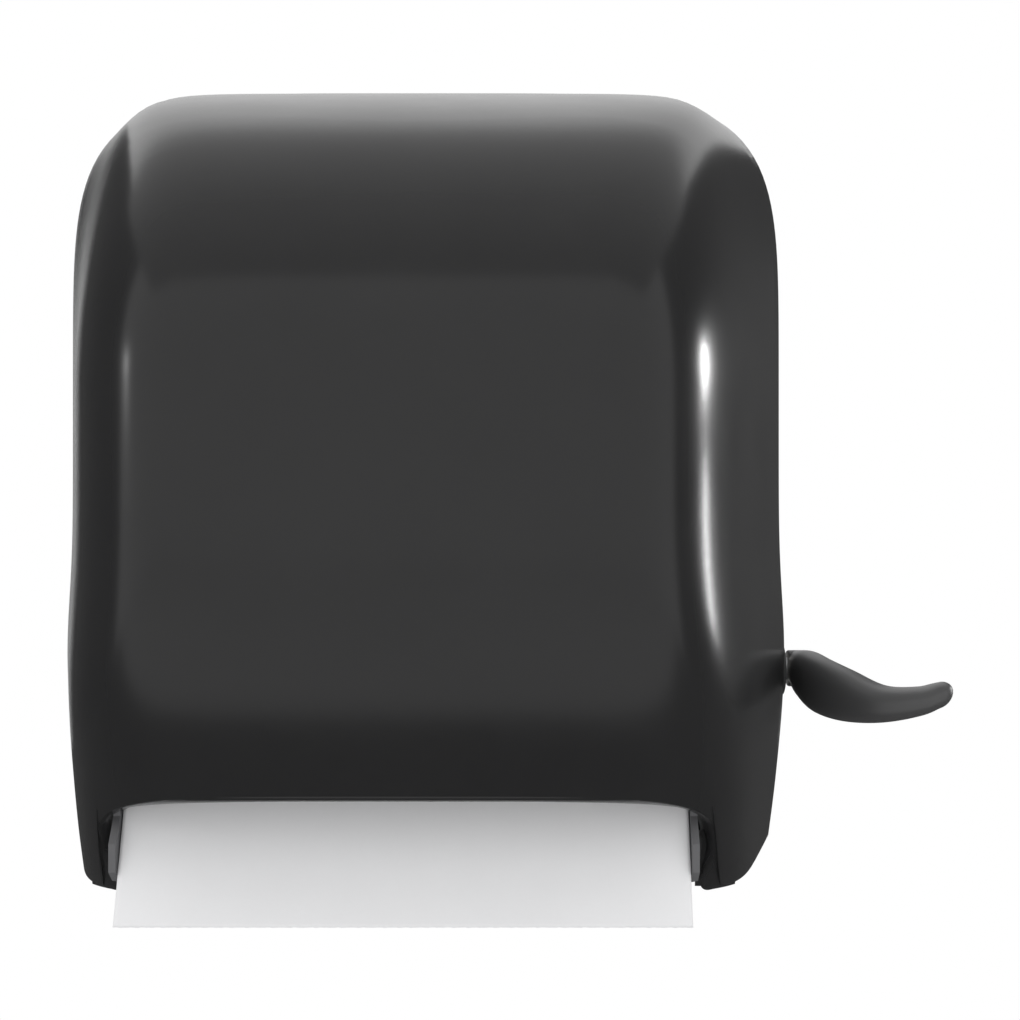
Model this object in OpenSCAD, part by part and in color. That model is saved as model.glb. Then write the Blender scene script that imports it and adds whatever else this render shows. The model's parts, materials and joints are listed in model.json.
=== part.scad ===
// Lever paper towel dispenser for an 8 inch roll, hung on a wall.
// Millimetres. +X is the lever side, -Y faces the user, +Z is up, and the wall is y = 0.
// The origin is the centre of the four wall screw holes, on the back face.
// Most shapes are drawn by their depth in front of the wall, which is -y.

/* [Body] */
// Width of the dispenser at the seam between tray and cover
body_w = 313.7; // [312:0.1:316]
// Height of the top above the wall screw centre
top_z = 163.2; // [162:0.1:166]
// Height of the lower edge below the wall screw centre
bottom_drop = 167.5; // [167:0.5:169]
// Depth of the dispenser from the wall to its front
body_d = 216; // [214:1:220]
// Depth of the wall tray
tray_d = 35; // [34:1:36]
// Thickness of the cover's wall
cover_wall = 2.6; // [2.2:0.1:3]
// Thickness of the tray's floor and walls
tray_wall = 3; // [2.6:0.1:3.4]

/* [Arch over the towel] */
// Width of the arch in the cover's lower front
arch_w = 226; // [224:1:228]
// Height of the arch above the lower edge
arch_h = 46.5; // [45:0.5:48]

/* [Wall screws] */
// Distance between the holes from side to side
screw_span_x = 150; // [140:1:156]
// Distance between the holes from top to bottom
screw_span_z = 200; // [190:1:206]
// Diameter of a hole
screw_hole_d = 5.5; // [4.5:0.1:6.5]

/* [Towel roll] */
// Width of the towel
towel_w = 203; // [201:0.5:203.5]
// Room between the roll and the cover, in front of the roll's widest point
roll_room = 42; // [41:1:60]
// Outer radius of the cardboard core
core_r = 20.5; // [20:0.1:21.5]
// Height of the roll's axis above the wall screw centre
roll_z = 32; // [30:1:34]

/* [Feed rollers] */
// Radius of the rubber drive roller
drive_r = 19; // [18:0.1:19.5]
// Radius of a pinch roller
pinch_r = 8; // [7:0.1:8.5]
// Angle of the nip above the horizontal
nip_tilt = 20; // [18:1:22]

/* [Gears] */
// Module of the gear train
gear_module = 1.5; // [1.49:0.01:1.51]
// Teeth that a whole segment gear would have
segment_teeth = 73; // [73]
// Teeth of the idler gear
idler_teeth = 28; // [28]
// Teeth of the clutch pinion
pinion_teeth = 16; // [16]
// Width of the teeth
gear_w = 5.5; // [4.5:0.5:6]
// Play between the flanks, at the pitch circle
backlash = 0.3; // [0.25:0.01:0.4]

/* [Lever] */
// Radius of the lever's shaft
lever_shaft_r = 5; // [4.5:0.1:5.5]
// Travel of the lever
lever_travel = 55; // [50:1:58]

/* [Hidden] */

// Fits
run_gap = 0.06;        // radial play of a shaft in its bore
free_gap = 0.4;        // least gap between pieces that move past each other
seam_gap = 0.5;        // gap between the tray and the cover
seat_gap = 1.6;        // gap between a bracket and the moulded skin that it is bonded to

// Body outline. Above the shoulder it is a superellipse, below it the sides are nearly upright.
shoulder_z = 20;
bottom_z = -bottom_drop;
outline_power = 5.2;     // squareness of the outline's top corners
bulge = 2.4;           // how far the sides swell beside the lever
bulge_z = -85;
bulge_reach = 35;
tuck_z = -105;         // the sides draw in below this height
tuck = 5;
top_h = top_z - shoulder_z;

// Cover form
front_flat_z = -20;    // the front falls back below this height
heel_d = 128;          // depth of the front at the lower edge
front_fall_power = 2;
front_fall_bend = 0.8;
side_slope = 0.318;    // how far the sides close in for each millimetre of depth
side_slope_low = 0.3;  // the same at the lower edge
corner_flare = 0.9;    // how much more the top's corners close in
side_flare = side_slope * (body_d - tray_d - seam_gap);
top_flare = 55;        // how far the top falls from seam to front
edge_power = 8;        // squareness of the front edge at mid height
edge_power_low = 8;
edge_power_top = 2.6;
arch_power = 5;
arch_half = arch_w / 2;

// Cover hinge
hinge_d = 127;
hinge_z = -156;
hinge_r = 2.5;
cheek_x = 108.6;       // inner face of the cover's hinge cheeks
cheek_t = 3.2;
cheek_top_z = -132;
fold_x = arch_half + 0.2;
swing_r = hinge_d - tray_d - 1;  // the lower rear corners stay inside this radius

// Feed frame
plate_x = towel_w / 2 + free_gap;  // inner faces of the feed plates
plate_t = 2.5;
plate_out = plate_x + plate_t;
drive_d = 127;
drive_z = -108;
shaft_r = 4;
paper_t = 0.3;
nip_play = 0.3;        // gap on each side of the towel
pinch_reach = drive_r + pinch_r + paper_t + 2 * nip_play;
pinch_d = drive_d + pinch_reach * cos(nip_tilt);
pinch_z = drive_z + pinch_reach * sin(nip_tilt);
web_r = drive_r + nip_play + paper_t / 2;
arm_pivot_d = pinch_d + 14.8;  // the pressure arm swings on this axis
arm_pivot_z = pinch_z + 18.5;
arm_pin_r = 2;

// Frame details
bush_r = 6.5;
foot_x = plate_out + 8;
FOOT_X = [-foot_x, foot_x];
FOOT_Z = [-140, -62];
TIES = [[arm_pivot_d - 9.5, arm_pivot_z + 14], [60, -72], [100, -146]];  // depth and height of each tie rod
tie_r = 3;
tie_end_r = 2;
tear_d = 155.6;
tear_t = 1.2;
tear_top_z = -111.2;
tear_root_z = -121;
tear_tip_z = -123.6;
tear_teeth = 80;
tear_screw_d = tear_d + 5.4;
tear_screw_z = tear_top_z - 3.8;
knob_x0 = plate_out + 2;
knob_x1 = plate_out + 14;
pinch_shaft_r = 3;
arm_lug_x = 97;
tail_z = -168;         // height of the torn edge

// Gear train: the lever's segment drives the idler, and the idler the clutch pinion.
lever_d = 20;
lever_z = -94;
segment_r = gear_module * segment_teeth / 2;
idler_r = gear_module * idler_teeth / 2;
pinion_r = gear_module * pinion_teeth / 2;
gear_x = 108;
train_len = norm([drive_d - lever_d, drive_z - lever_z]);
train_angle = atan2(drive_z - lever_z, drive_d - lever_d);
first_pair = segment_r + idler_r;
second_pair = idler_r + pinion_r;
first_angle = train_angle
    + acos((pow(first_pair, 2) + pow(train_len, 2) - pow(second_pair, 2))
    / (2 * first_pair * train_len));
idler_d = lever_d + first_pair * cos(first_angle);
idler_z = lever_z + first_pair * sin(first_angle);
second_angle = atan2(drive_z - idler_z, drive_d - idler_d);
idler_pitch = 360 / idler_teeth;
idler_phase = first_angle + 180 + idler_pitch / 2;
idler_lag = second_angle - idler_phase;
pinion_phase = second_angle + 180 + idler_lag * idler_teeth / pinion_teeth + 180 / pinion_teeth;
idler_pin_r = 3;

// Lever
lever_seat_in = 152;
lever_seat_out = 161;
lever_bush_r = 7.5;
stop_r = 4;
stop_angle = first_angle + (ceil(lever_travel * segment_teeth / 360) + 1.5) * 360 / segment_teeth
    + asin((stop_r + free_gap) / 38);
stop_d = lever_d + 38 * cos(stop_angle);
stop_z = lever_z + 38 * sin(stop_angle);
lever_root_x = 163.5;
lever_hub_r = 9.5;
lever_hub_w = 9;
// Stations of the lever: x, depth, height, half width, half height
LEVER = [
    [168, 17, -94, 5, 7.5],
    [169, 26, -94.2, 6.5, 9],
    [170, 38, -95.5, 8, 11],
    [173, 52, -98.2, 9, 12],
    [181, 64, -100.8, 11, 10.8],
    [193, 73, -103, 13, 7.6],
    [206, 78, -101.2, 13, 5.8],
    [215.5, 80, -98.4, 10, 4.4],
    [220, 81, -96.8, 4, 2]];
spring_wire = 1.6;
spring_coil_r = 9;
spring_turns = 8;
spring_x = 120;
spring_pitch = 2.1;

// Roll and its arms
roll_d = body_d / 2 - 14;
roll_r = body_d - roll_d - roll_room;
arm_x = 104.3;         // inner face of an arm
arm_t = 3.6;
arm_hinge_x = 106.5;
arm_hinge_d = 11;
arm_low_z = roll_z - 20;
arm_top_z = roll_z + 20;
arm_pin_fit_r = 1.6;
core_in_r = core_r - 1.3;

// Lock
lock_d = 17;
lock_r = 8;
lock_plug_r = 5.5;
cam_z = top_z - 24.6;
cam_len = 19;
hook_z = cam_z + 3.4;  // underside of the hook, just over the cam
catch_x = 12.5;

// ---- Helpers ----

// Draws a profile of depth and height, and extrudes it along X from x0
module along_x(x0, len) {
    translate([x0, 0, 0]) rotate([90, 0, 90]) linear_extrude(len) mirror([1, 0]) children();
}

// Draws a profile of x and height, and extrudes it forward from depth d0
module forward(d0, len) {
    translate([0, -d0, 0]) rotate([90, 0, 0]) linear_extrude(len) children();
}

// A cylinder along X, centred on a depth and a height
module rod(x0, len, d, z, r, sides = 48) {
    translate([x0, -d, z]) rotate([0, 90, 0]) cylinder(h = len, r = r, $fn = sides);
}

// A cylinder along X whose radius goes from r1 to r2
module taper(x0, len, d, z, r1, r2) {
    translate([x0, -d, z]) rotate([0, 90, 0]) cylinder(h = len, r1 = r1, r2 = r2, $fn = 48);
}

// A cylinder that points forward from depth d0
module stud(x, z, d0, len, r, sides = 32) {
    translate([x, -d0, z]) rotate([90, 0, 0]) cylinder(h = len, r = r, $fn = sides);
}

// A block between two corners, each an x, a depth and a height
module block(a, b) {
    translate([min(a[0], b[0]), -max(a[1], b[1]), min(a[2], b[2])])
        cube([abs(b[0] - a[0]), abs(b[1] - a[1]), abs(b[2] - a[2])]);
}

module both_sides() {
    children();
    mirror([1, 0, 0]) children();
}

function clamp(v, lo, hi) = min(max(v, lo), hi);
function turned(p, a) = [p[0] * cos(a) - p[1] * sin(a), p[0] * sin(a) + p[1] * cos(a)];

// ---- Cover and tray form ----

// The point at an angle on a unit superellipse
function super_point(angle, power) =
    let(c = cos(angle), s = sin(angle),
        r = pow(pow(abs(c), power) + pow(abs(s), power), -1 / power))
    [c * r, s * r];

function half_w(z) =
    body_w / 2 + bulge * exp(-pow((z - bulge_z) / bulge_reach, 2))
    - tuck * pow(clamp((tuck_z - z) / (tuck_z - bottom_z), 0, 1), 2);

function front_d(z) =
    heel_d + (body_d - heel_d) * pow(1 - pow(clamp((front_flat_z - z)
    / (front_flat_z - bottom_z + 0.5), 0, 1), front_fall_power), front_fall_bend);

// Depth of the cover's rear edge: it follows the swing below the hinge
function seam_d(z) =
    z > hinge_z ? tray_d + seam_gap
    : hinge_d - sqrt(pow(swing_r + 1 - seam_gap, 2) - pow(z - hinge_z, 2));

function arch_z(x) =
    abs(x) < arch_half
    ? bottom_z + arch_h * pow(1 - pow(abs(x) / arch_half, arch_power), 1 / arch_power)
    : bottom_z;

function low_share(z) = pow(clamp((shoulder_z - z) / (shoulder_z - bottom_z), 0, 1), 4);

// The cover's skin below the shoulder: side is 1 or -1, inset is 0 or the wall
function low_point(phi, side, z, inset) =
    let(u = low_share(z), ab = super_point(phi, edge_power + (edge_power_low - edge_power) * u),
        slope = side_slope + (side_slope_low - side_slope) * u,
        flare = slope * (front_d(z) - seam_d(z)))
    [side * ab[0] * (half_w(z) - flare * ab[1] - inset),
        -(seam_d(z) + ab[1] * (front_d(z) - inset - seam_d(z))), z];

// Where a column of the skin meets the arch, by halving
function column_end(phi, side, inset, lo, hi, steps) =
    let(mid = (lo + hi) / 2)
    steps == 0 ? hi
    : mid > arch_z(low_point(phi, side, mid, inset)[0])
        ? column_end(phi, side, inset, lo, mid, steps - 1)
        : column_end(phi, side, inset, mid, hi, steps - 1);

// How deep the cover's middle line is at a height above the shoulder, as a share of the whole
function top_share(z, inset, lo = 0, hi = 90, steps = 22) =
    let(mid = (lo + hi) / 2, ab = super_point(mid, edge_power_top))
    steps == 0 ? ab[1]
    : shoulder_z + ab[0] * (top_h - top_flare * ab[1] - inset) > z
        ? top_share(z, inset, mid, hi, steps - 1)
        : top_share(z, inset, lo, mid, steps - 1);

// Half width of the seam's outline at a height above the shoulder
function high_w(z, inset) = (half_w(shoulder_z) - inset)
    * pow(max(1 - pow((z - shoulder_z) / (top_h - inset), outline_power), 0), 1 / outline_power);

// How far round a level section, which is a superellipse, the skin has a given x
function section_share(x, w, flare, lo = 0, hi = 1, steps = 22) =
    let(mid = (lo + hi) / 2)
    steps == 0 ? mid
    : pow(x / (w - flare * mid), edge_power) + pow(mid, edge_power) > 1
        ? section_share(x, w, flare, lo, mid, steps - 1)
        : section_share(x, w, flare, mid, hi, steps - 1);

// The cover's skin above the shoulder, turn goes from 0 at +X over the top to 180 at -X
function high_point(phi, turn, inset) =
    let(ab = super_point(phi, edge_power + (edge_power_top - edge_power) * pow(sin(turn), 2)),
        o = super_point(turn, outline_power),
        x = ab[0] * (half_w(shoulder_z) - side_flare * ab[1] - inset) * o[0],
        z = shoulder_z + ab[0] * (top_h - top_flare * ab[1] - inset) * o[1],
        top = top_share(z, inset),
        flare = side_flare * (1 + corner_flare * pow((z - shoulder_z) / top_h, 2)),
        share = phi == 0 ? 0 : section_share(abs(x), high_w(z, inset), flare * top))
    [x, -(seam_d(z) + share * top * (front_d(z) - inset - seam_d(z))), z];

// Columns from the seam to the centre line, closer where the arch turns
PHI = concat([for (a = [0 : 8 : 32]) a], [for (a = [36 : 3 : 45]) a],
    [for (a = [47 : 0.8 : 52.6]) a], [for (a = [56 : 6.8 : 83.2]) a], [90]);
phi_n = len(PHI) - 1;
col_n = 2 * phi_n;
row_n = 16;
turn_n = 30;
skin_n = (col_n + 1) * (row_n + 1) + (turn_n - 1) * phi_n;

function low_index(i, j) = i * (col_n + 1) + j;
function high_index(k, m) =
    m == phi_n ? low_index(0, phi_n)
    : k == 0 ? low_index(0, m)
    : k == turn_n ? low_index(0, col_n - m)
    : (col_n + 1) * (row_n + 1) + (k - 1) * phi_n + m;

function skin_points(inset) =
    let(phis = [for (j = [0 : col_n]) PHI[j <= phi_n ? j : col_n - j]],
        sides = [for (j = [0 : col_n]) j <= phi_n ? 1 : -1],
        ends = [for (j = [0 : col_n])
            column_end(phis[j], sides[j], inset, bottom_z, shoulder_z, 24)])
    concat(
        [for (i = [0 : row_n]) for (j = [0 : col_n])
            low_point(phis[j], sides[j], shoulder_z + (ends[j] - shoulder_z) * i / row_n, inset)],
        [for (k = [1 : turn_n - 1]) for (m = [0 : phi_n - 1])
            high_point(PHI[m], 180 * k / turn_n, inset)]);

// A quad that is cut along its other diagonal on the left, so that both sides match
function sided(q, left) = left ? [q[1], q[2], q[3], q[0]] : q;

SKIN_QUADS = concat(
    [for (i = [0 : row_n - 1]) for (j = [0 : col_n - 1])
        sided([low_index(i, j), low_index(i + 1, j), low_index(i + 1, j + 1), low_index(i, j + 1)],
            j >= phi_n)],
    [for (k = [0 : turn_n - 1]) for (m = [0 : phi_n - 1])
        sided([high_index(k, m), high_index(k, m + 1), high_index(k + 1, m + 1),
            high_index(k + 1, m)], k >= turn_n / 2)]);

// The skin's open edge, once round
EDGE = concat([for (j = [0 : col_n]) low_index(row_n, j)],
    [for (i = [row_n - 1 : -1 : 1]) low_index(i, col_n)],
    [for (k = [turn_n : -1 : 0]) high_index(k, 0)],
    [for (i = [1 : row_n - 1]) low_index(i, 0)]);

// Splits a quad into its triangles and leaves out the ones that have no area
function halves(q) =
    [for (t = [[q[0], q[1], q[2]], [q[0], q[2], q[3]]])
        if (t[0] != t[1] && t[1] != t[2] && t[0] != t[2]) t];
function reversed(t) = [for (i = [len(t) - 1 : -1 : 0]) t[i]];

module cover_shell() {
    outer = [for (q = SKIN_QUADS) for (t = halves(q)) t];
    inner = [for (t = outer) [for (v = reversed(t)) v + skin_n]];
    n = len(EDGE);
    rim = [for (e = [0 : n - 1]) let(a = EDGE[e], b = EDGE[(e + 1) % n])
        for (t = halves(sided([a, a + skin_n, b + skin_n, b], e >= phi_n))) t];
    polyhedron(concat(skin_points(0), skin_points(cover_wall)),
        concat(outer, inner, rim), convexity = 6);
}

// The outline of tray and seam, drawn in by an inset
function outline(inset) = concat(
    [for (i = [0 : 12]) let(z = bottom_z + inset + (shoulder_z - bottom_z - inset) * i / 12)
        [half_w(z) - inset, z]],
    [for (k = [1 : 79]) let(o = super_point(180 * k / 80, outline_power))
        [(half_w(shoulder_z) - inset) * o[0], shoulder_z + (top_h - inset) * o[1]]],
    [for (i = [12 : -1 : 0]) let(z = bottom_z + inset + (shoulder_z - bottom_z - inset) * i / 12)
        [-(half_w(z) - inset), z]]);

// ---- Wall tray ----

module wall_tray() color("#3a3a3c") difference() {
    union() {
        difference() {
            forward(0, tray_d) polygon(outline(0));
            forward(tray_wall, tray_d) polygon(outline(tray_wall));
        }
        tray_ribs();
        for (x = [-1, 1]) for (z = [-1, 1])
            stud(x * screw_span_x / 2, z * screw_span_z / 2, tray_wall - 0.5, 5.5, 9);
        both_sides() arm_lugs();
        lever_boss();
    }
    for (x = [-1, 1]) for (z = [-1, 1])
        stud(x * screw_span_x / 2, z * screw_span_z / 2, -1, 12, screw_hole_d / 2);
    rod(lever_root_x - 20, 30, lever_d, lever_z, lever_bush_r);
    translate([0, -lock_d, top_z - 10]) cylinder(h = 20, r = lock_r, $fn = 64);
    for (x = [-1, 1]) translate([x * arm_hinge_x, -arm_hinge_d, arm_low_z - 7])
        cylinder(h = arm_top_z - arm_low_z + 14, r = arm_pin_fit_r, $fn = 24);
    for (x = FOOT_X) for (z = FOOT_Z) stud(x, z, 0.8, 4, 1.5);
}

// Ribs that stiffen the tray's floor
module tray_ribs() {
    rib_d = tray_wall + 5;
    for (x = [-128, -45, 45, 128]) block([x - 1, tray_wall - 0.5, -160], [x + 1, rib_d, 120]);
    for (z = [-50, 80]) block([-155, tray_wall - 0.5, z - 1], [155, rib_d, z + 1]);
}

// The two lugs that hold one roll arm's hinge pin
module arm_lugs() {
    for (z = [arm_low_z - 6, arm_top_z + free_gap])
        block([arm_hinge_x - 5, tray_wall - 0.5, z], [arm_hinge_x + 5, arm_hinge_d + 4.5,
            z + 6 - free_gap]);
}

// Flat seats for the lever's bushing, inside and outside the tray's wall
module lever_boss() {
    rod(lever_seat_in, lever_seat_out - lever_seat_in, lever_d, lever_z, 12);
}

// ---- Feed frame ----

// Outline of a feed plate in depth and height
PLATE = [[tray_wall, -150], [tray_wall, -52], [52, -52], [86, -66], [124, -78], [148, -60],
    [arm_pivot_d - 2, arm_pivot_z + 22], [arm_pivot_d + 8, arm_pivot_z + 10],
    [arm_pivot_d + 8, arm_pivot_z - 6], [170, -108], [162.8, -122], [158.4, -131.5], [165, -140],
    [165, -150], [160, -154.2], [140, -160], [131, -163], [123, -163], [114, -158], [106, -150]];

module feed_plate(right) {
    x0 = right ? plate_x : -plate_out;
    difference() {
        union() {
            along_x(x0, plate_t) polygon(PLATE);
            for (z = FOOT_Z) foot(right ? 1 : -1, z);
        }
        rod(x0 - 1, plate_t + 2, drive_d, drive_z, bush_r);
        rod(x0 - 1, plate_t + 2, hinge_d, hinge_z, hinge_r, 24);
        rod(x0 - 1, plate_t + 2, arm_pivot_d, arm_pivot_z, arm_pin_r, 24);
        for (t = TIES) rod(x0 - 1, plate_t + 2, t[0], t[1], tie_end_r, 24);
        rod(x0 - 1, plate_t + 2, tear_screw_d, tear_screw_z, 1.5, 24);
        if (right) {
            rod(x0 - 1, plate_t + 2, lever_d, lever_z, lever_shaft_r + run_gap);
            rod(x0 - 1, plate_t + 2, idler_d, idler_z, idler_pin_r, 32);
            rod(x0 - 1, plate_t + 2, stop_d, stop_z, 2, 24);
        }
        along_x(x0 - 1, plate_t + 2) polygon([[38, -126], [60, -128], [84, -130], [84, -142],
            [60, -142], [38, -142]]);
    }
}

// A foot that is screwed to the tray
module foot(side, z) {
    difference() {
        block([side * plate_out, tray_wall, z - 6], [side * (plate_out + 13), tray_wall + 3, z + 6]);
        stud(side * foot_x, z, tray_wall - 1, 6, 1.6);
    }
}

module feed_plate_left() color("#4a4a4d") feed_plate(false);
module feed_plate_right() color("#4a4a4d") feed_plate(true);

// Pan-head screws through the feet into the tray
module frame_screws() color("silver") {
    for (x = FOOT_X) for (z = FOOT_Z) {
        stud(x, z, 0.8, tray_wall + 3 - 0.8, 1.5);
        stud(x, z, tray_wall + 3, 2.2, 3);
    }
}

// Turned rods that tie the two plates together
module tie_rods() color("silver") for (t = TIES) {
    rod(-plate_x, 2 * plate_x, t[0], t[1], tie_r);
    rod(-plate_out - 1, 2 * plate_out + 2, t[0], t[1], tie_end_r, 24);
}

// Serrated steel strip in front of the towel
module tear_bar() color("silver") {
    half = plate_x - 1.2;
    pitch = 2 * half / tear_teeth;
    forward(tear_d, tear_t) polygon(concat([[half, tear_top_z], [-half, tear_top_z]],
        [for (i = [0 : tear_teeth - 1]) each [[-half + i * pitch, tear_root_z],
            [-half + (i + 0.5) * pitch, tear_tip_z]]], [[half, tear_root_z]]));
    block([-half, tear_d, tear_top_z - 0.01], [half, tear_d + 10, tear_top_z + tear_t]);
    difference() {
        for (s = [-1, 1]) block([s * half, tear_d, tear_root_z + 2],
            [s * plate_x, tear_d + 10, tear_top_z + tear_t]);
        for (s = [-1, 1]) rod(s > 0 ? half - 1 : -plate_x - 1, 4, tear_screw_d, tear_screw_z, 1.5, 24);
    }
}

module tear_bar_screws() color("silver") both_sides() {
    rod(plate_x - 1.2, plate_t + 1.2, tear_screw_d, tear_screw_z, 1.5, 24);
    rod(plate_out, 1.8, tear_screw_d, tear_screw_z, 2.8, 24);
}

// Moulded chute behind the towel, under the drive roller
module paper_guide() color("#4a4a4d") {
    along_x(-plate_x, 2 * plate_x)
        polygon([[100, -131], [149, -131], [157.5, -150], [155.4, -151], [147.6, -133], [100, -133]]);
    for (x = [-80 : 40 : 80]) along_x(x - 1, 2)
        polygon([[112, -132], [148.4, -132], [155.8, -150.4], [120, -141]]);
}

// Steel pins, fixed in the feed plates, on which the cover swings
module cover_hinge_pins() color("silver") both_sides() {
    rod(plate_x, cheek_x + cheek_t + 1 - plate_x, hinge_d, hinge_z, hinge_r);
}

// ---- Lever and gear train ----

// Angle by which an involute turns away at a radius
function involute(base_r, r) = r <= base_r ? 0
    : sqrt(pow(r / base_r, 2) - 1) * 180 / PI - acos(base_r / r);

// Outline of teeth first..last of a gear, each tooth centred on its own angle
function teeth_points(count, first, last, phase) =
    let(pitch_r = gear_module * count / 2, base_r = pitch_r * cos(20),
        root_r = pitch_r - 1.15 * gear_module, tip_r = pitch_r + 0.85 * gear_module,
        half_pitch = 90 / count - backlash / 2 / pitch_r * 90 / PI,
        radii = [for (i = [0 : 4]) root_r + (tip_r - root_r) * i / 4])
    [for (t = [first : last]) let(mid = phase + t * 360 / count)
        each concat(
            [for (r = radii) let(a = mid - half_pitch - involute(base_r, pitch_r)
                + involute(base_r, r)) [r * cos(a), r * sin(a)]],
            [for (i = [4 : -1 : 0]) let(r = radii[i], a = mid + half_pitch
                + involute(base_r, pitch_r) - involute(base_r, r)) [r * cos(a), r * sin(a)]])];

// Toothed segment on the lever's shaft, with teeth only where they meet the idler
module segment_gear() color("#d8d4c8") {
    first = -2;
    last = ceil(lever_travel * segment_teeth / 360) + 1;
    difference() {
        union() {
            translate([gear_x, -lever_d, lever_z]) rotate([90, 0, 90]) linear_extrude(gear_w)
                mirror([1, 0]) polygon(concat(
                teeth_points(segment_teeth, first, last, first_angle), [[0, 0]]));
            rod(gear_x - 3, gear_w + 6.5, lever_d, lever_z, 11);
        }
        rod(gear_x - 5, gear_w + 12, lever_d, lever_z, lever_shaft_r);
        for (a = [first_angle + 8, first_angle + 27, first_angle + 46])
            rod(gear_x - 1, gear_w + 2, lever_d + 32 * cos(a), lever_z + 32 * sin(a), 5, 32);
    }
}

module idler_gear() color("#d8d4c8") difference() {
    union() {
        translate([gear_x, -idler_d, idler_z]) rotate([90, 0, 90]) linear_extrude(gear_w)
            mirror([1, 0]) polygon(teeth_points(idler_teeth, 0, idler_teeth - 1, idler_phase));
        rod(gear_x - 2.6, gear_w + 3.6, idler_d, idler_z, 6.5);
    }
    rod(gear_x - 5, gear_w + 10, idler_d, idler_z, idler_pin_r + run_gap);
    for (a = [0 : 60 : 300]) rod(gear_x - 1, gear_w + 2, idler_d + 12.5 * cos(a),
        idler_z + 12.5 * sin(a), 3.6, 32);
}

// Pinion with the one-way clutch in its hub
module clutch_pinion() color("#d8d4c8") difference() {
    union() {
        translate([gear_x, -drive_d, drive_z]) rotate([90, 0, 90]) linear_extrude(gear_w)
            mirror([1, 0]) polygon(teeth_points(pinion_teeth, 0, pinion_teeth - 1, pinion_phase));
        rod(gear_x - 1.6, gear_w + 6.6, drive_d, drive_z, 8.5);
    }
    rod(gear_x - 5, gear_w + 14, drive_d, drive_z, shaft_r + run_gap);
}

// Headed steel pin that the idler turns on
module idler_pin() color("silver") {
    rod(plate_x, gear_x + gear_w + 1.6 - plate_x, idler_d, idler_z, idler_pin_r);
    rod(gear_x + gear_w + 1.4, 1.6, idler_d, idler_z, 5.5);
}

module lever_shaft() color("silver") {
    rod(plate_x - 0.2, lever_root_x + lever_hub_w - plate_x - 1, lever_d, lever_z, lever_shaft_r);
}

// Flanged bushing in the tray's wall
module lever_bushing() color("#e4e0d4") difference() {
    union() {
        rod(lever_seat_in, lever_seat_out - lever_seat_in + 0.6, lever_d, lever_z, lever_bush_r);
        rod(lever_seat_in - 2, 2, lever_d, lever_z, lever_bush_r + 3);
    }
    rod(lever_seat_in - 4, 30, lever_d, lever_z, lever_shaft_r + run_gap);
}

// Rubber buffer that the segment comes back to
module lever_stop() color("#18181a") {
    rod(plate_out, gear_x + gear_w - plate_out, stop_d, stop_z, stop_r, 32);
    rod(plate_x, plate_t, stop_d, stop_z, 2, 24);
}

// ---- Springs ----

// A tube along a list of points, as one closed solid
module tube(path, r, sides = 6) {
    n = len(path);
    rings = [for (i = [0 : n - 1])
        let(t = path[min(i + 1, n - 1)] - path[max(i - 1, 0)], u = t / norm(t),
            side = abs(u[0]) > 0.8 ? [0, 0, 1] : [1, 0, 0],
            v = cross(u, side) / norm(cross(u, side)), w = cross(u, v))
        for (k = [0 : sides - 1]) path[i] + r * (cos(360 * k / sides) * v
            + sin(360 * k / sides) * w)];
    walls = [for (i = [0 : n - 2]) for (k = [0 : sides - 1])
        let(a = i * sides + k, b = i * sides + (k + 1) % sides)
        each [[a, b, b + sides], [a, b + sides, a + sides]]];
    ends = concat([[for (k = [sides - 1 : -1 : 0]) k]], [[for (k = [0 : sides - 1])
        (n - 1) * sides + k]]);
    polyhedron(rings, [for (t = concat(walls, ends)) reversed(t)], convexity = 8);
}

// Points of a coil along X, 8 to a turn, as x, y and z round its axis
function coil(x0, d, z, r, turns, pitch, start) =
    [for (i = [0 : turns * 8]) let(a = start + i * 45)
        [x0 + pitch * i / 8, -(d + r * cos(a)), z + r * sin(a)]];

// Least distance between points of a path that lie at least half a turn apart
function self_gap(path) = min([for (i = [0 : len(path) - 1]) for (j = [i + 5 : 1 : len(path) - 1])
    norm(path[i] - path[j])]);

lever_coil = coil(spring_x, lever_d, lever_z, spring_coil_r, spring_turns, spring_pitch, 90);
echo(lever_spring_gap = self_gap(lever_coil) - spring_wire);

// Torsion spring round the lever's shaft: one leg stands on the tray, the other ends at the shaft
module return_spring() color("silver") {
    last = lever_coil[len(lever_coil) - 1];
    tube(concat(
        [[spring_x, -tray_wall, lever_z + spring_coil_r + 0.2], [spring_x, -lever_d + 8,
            lever_z + spring_coil_r]], lever_coil,
        [[last[0] + 0.6, last[1] + 1.5, last[2] - 1.2],
            [last[0] + 0.9, -lever_d + 0.5, lever_z + lever_shaft_r + free_gap]]),
        spring_wire / 2);
}

// ---- Feed rollers ----

// Flanged bushes for the drive shaft
module roller_bushes() color("#e4e0d4") both_sides() difference() {
    union() {
        rod(plate_x, plate_t, drive_d, drive_z, bush_r);
        rod(plate_out, 1.5, drive_d, drive_z, bush_r + 2);
    }
    rod(plate_x - 1, plate_t + 4, drive_d, drive_z, shaft_r + run_gap);
}

module drive_shaft() color("silver") {
    rod(-knob_x1, knob_x1 + gear_x + gear_w + 8, drive_d, drive_z, shaft_r);
    rod(gear_x + gear_w + 5.4, 1.6, drive_d, drive_z, shaft_r + 2.5);
}

module drive_core() color("#2c2c2e") difference() {
    rod(-100.5, 201, drive_d, drive_z, drive_r - 2.5);
    rod(-102, 204, drive_d, drive_z, shaft_r);
}

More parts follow.
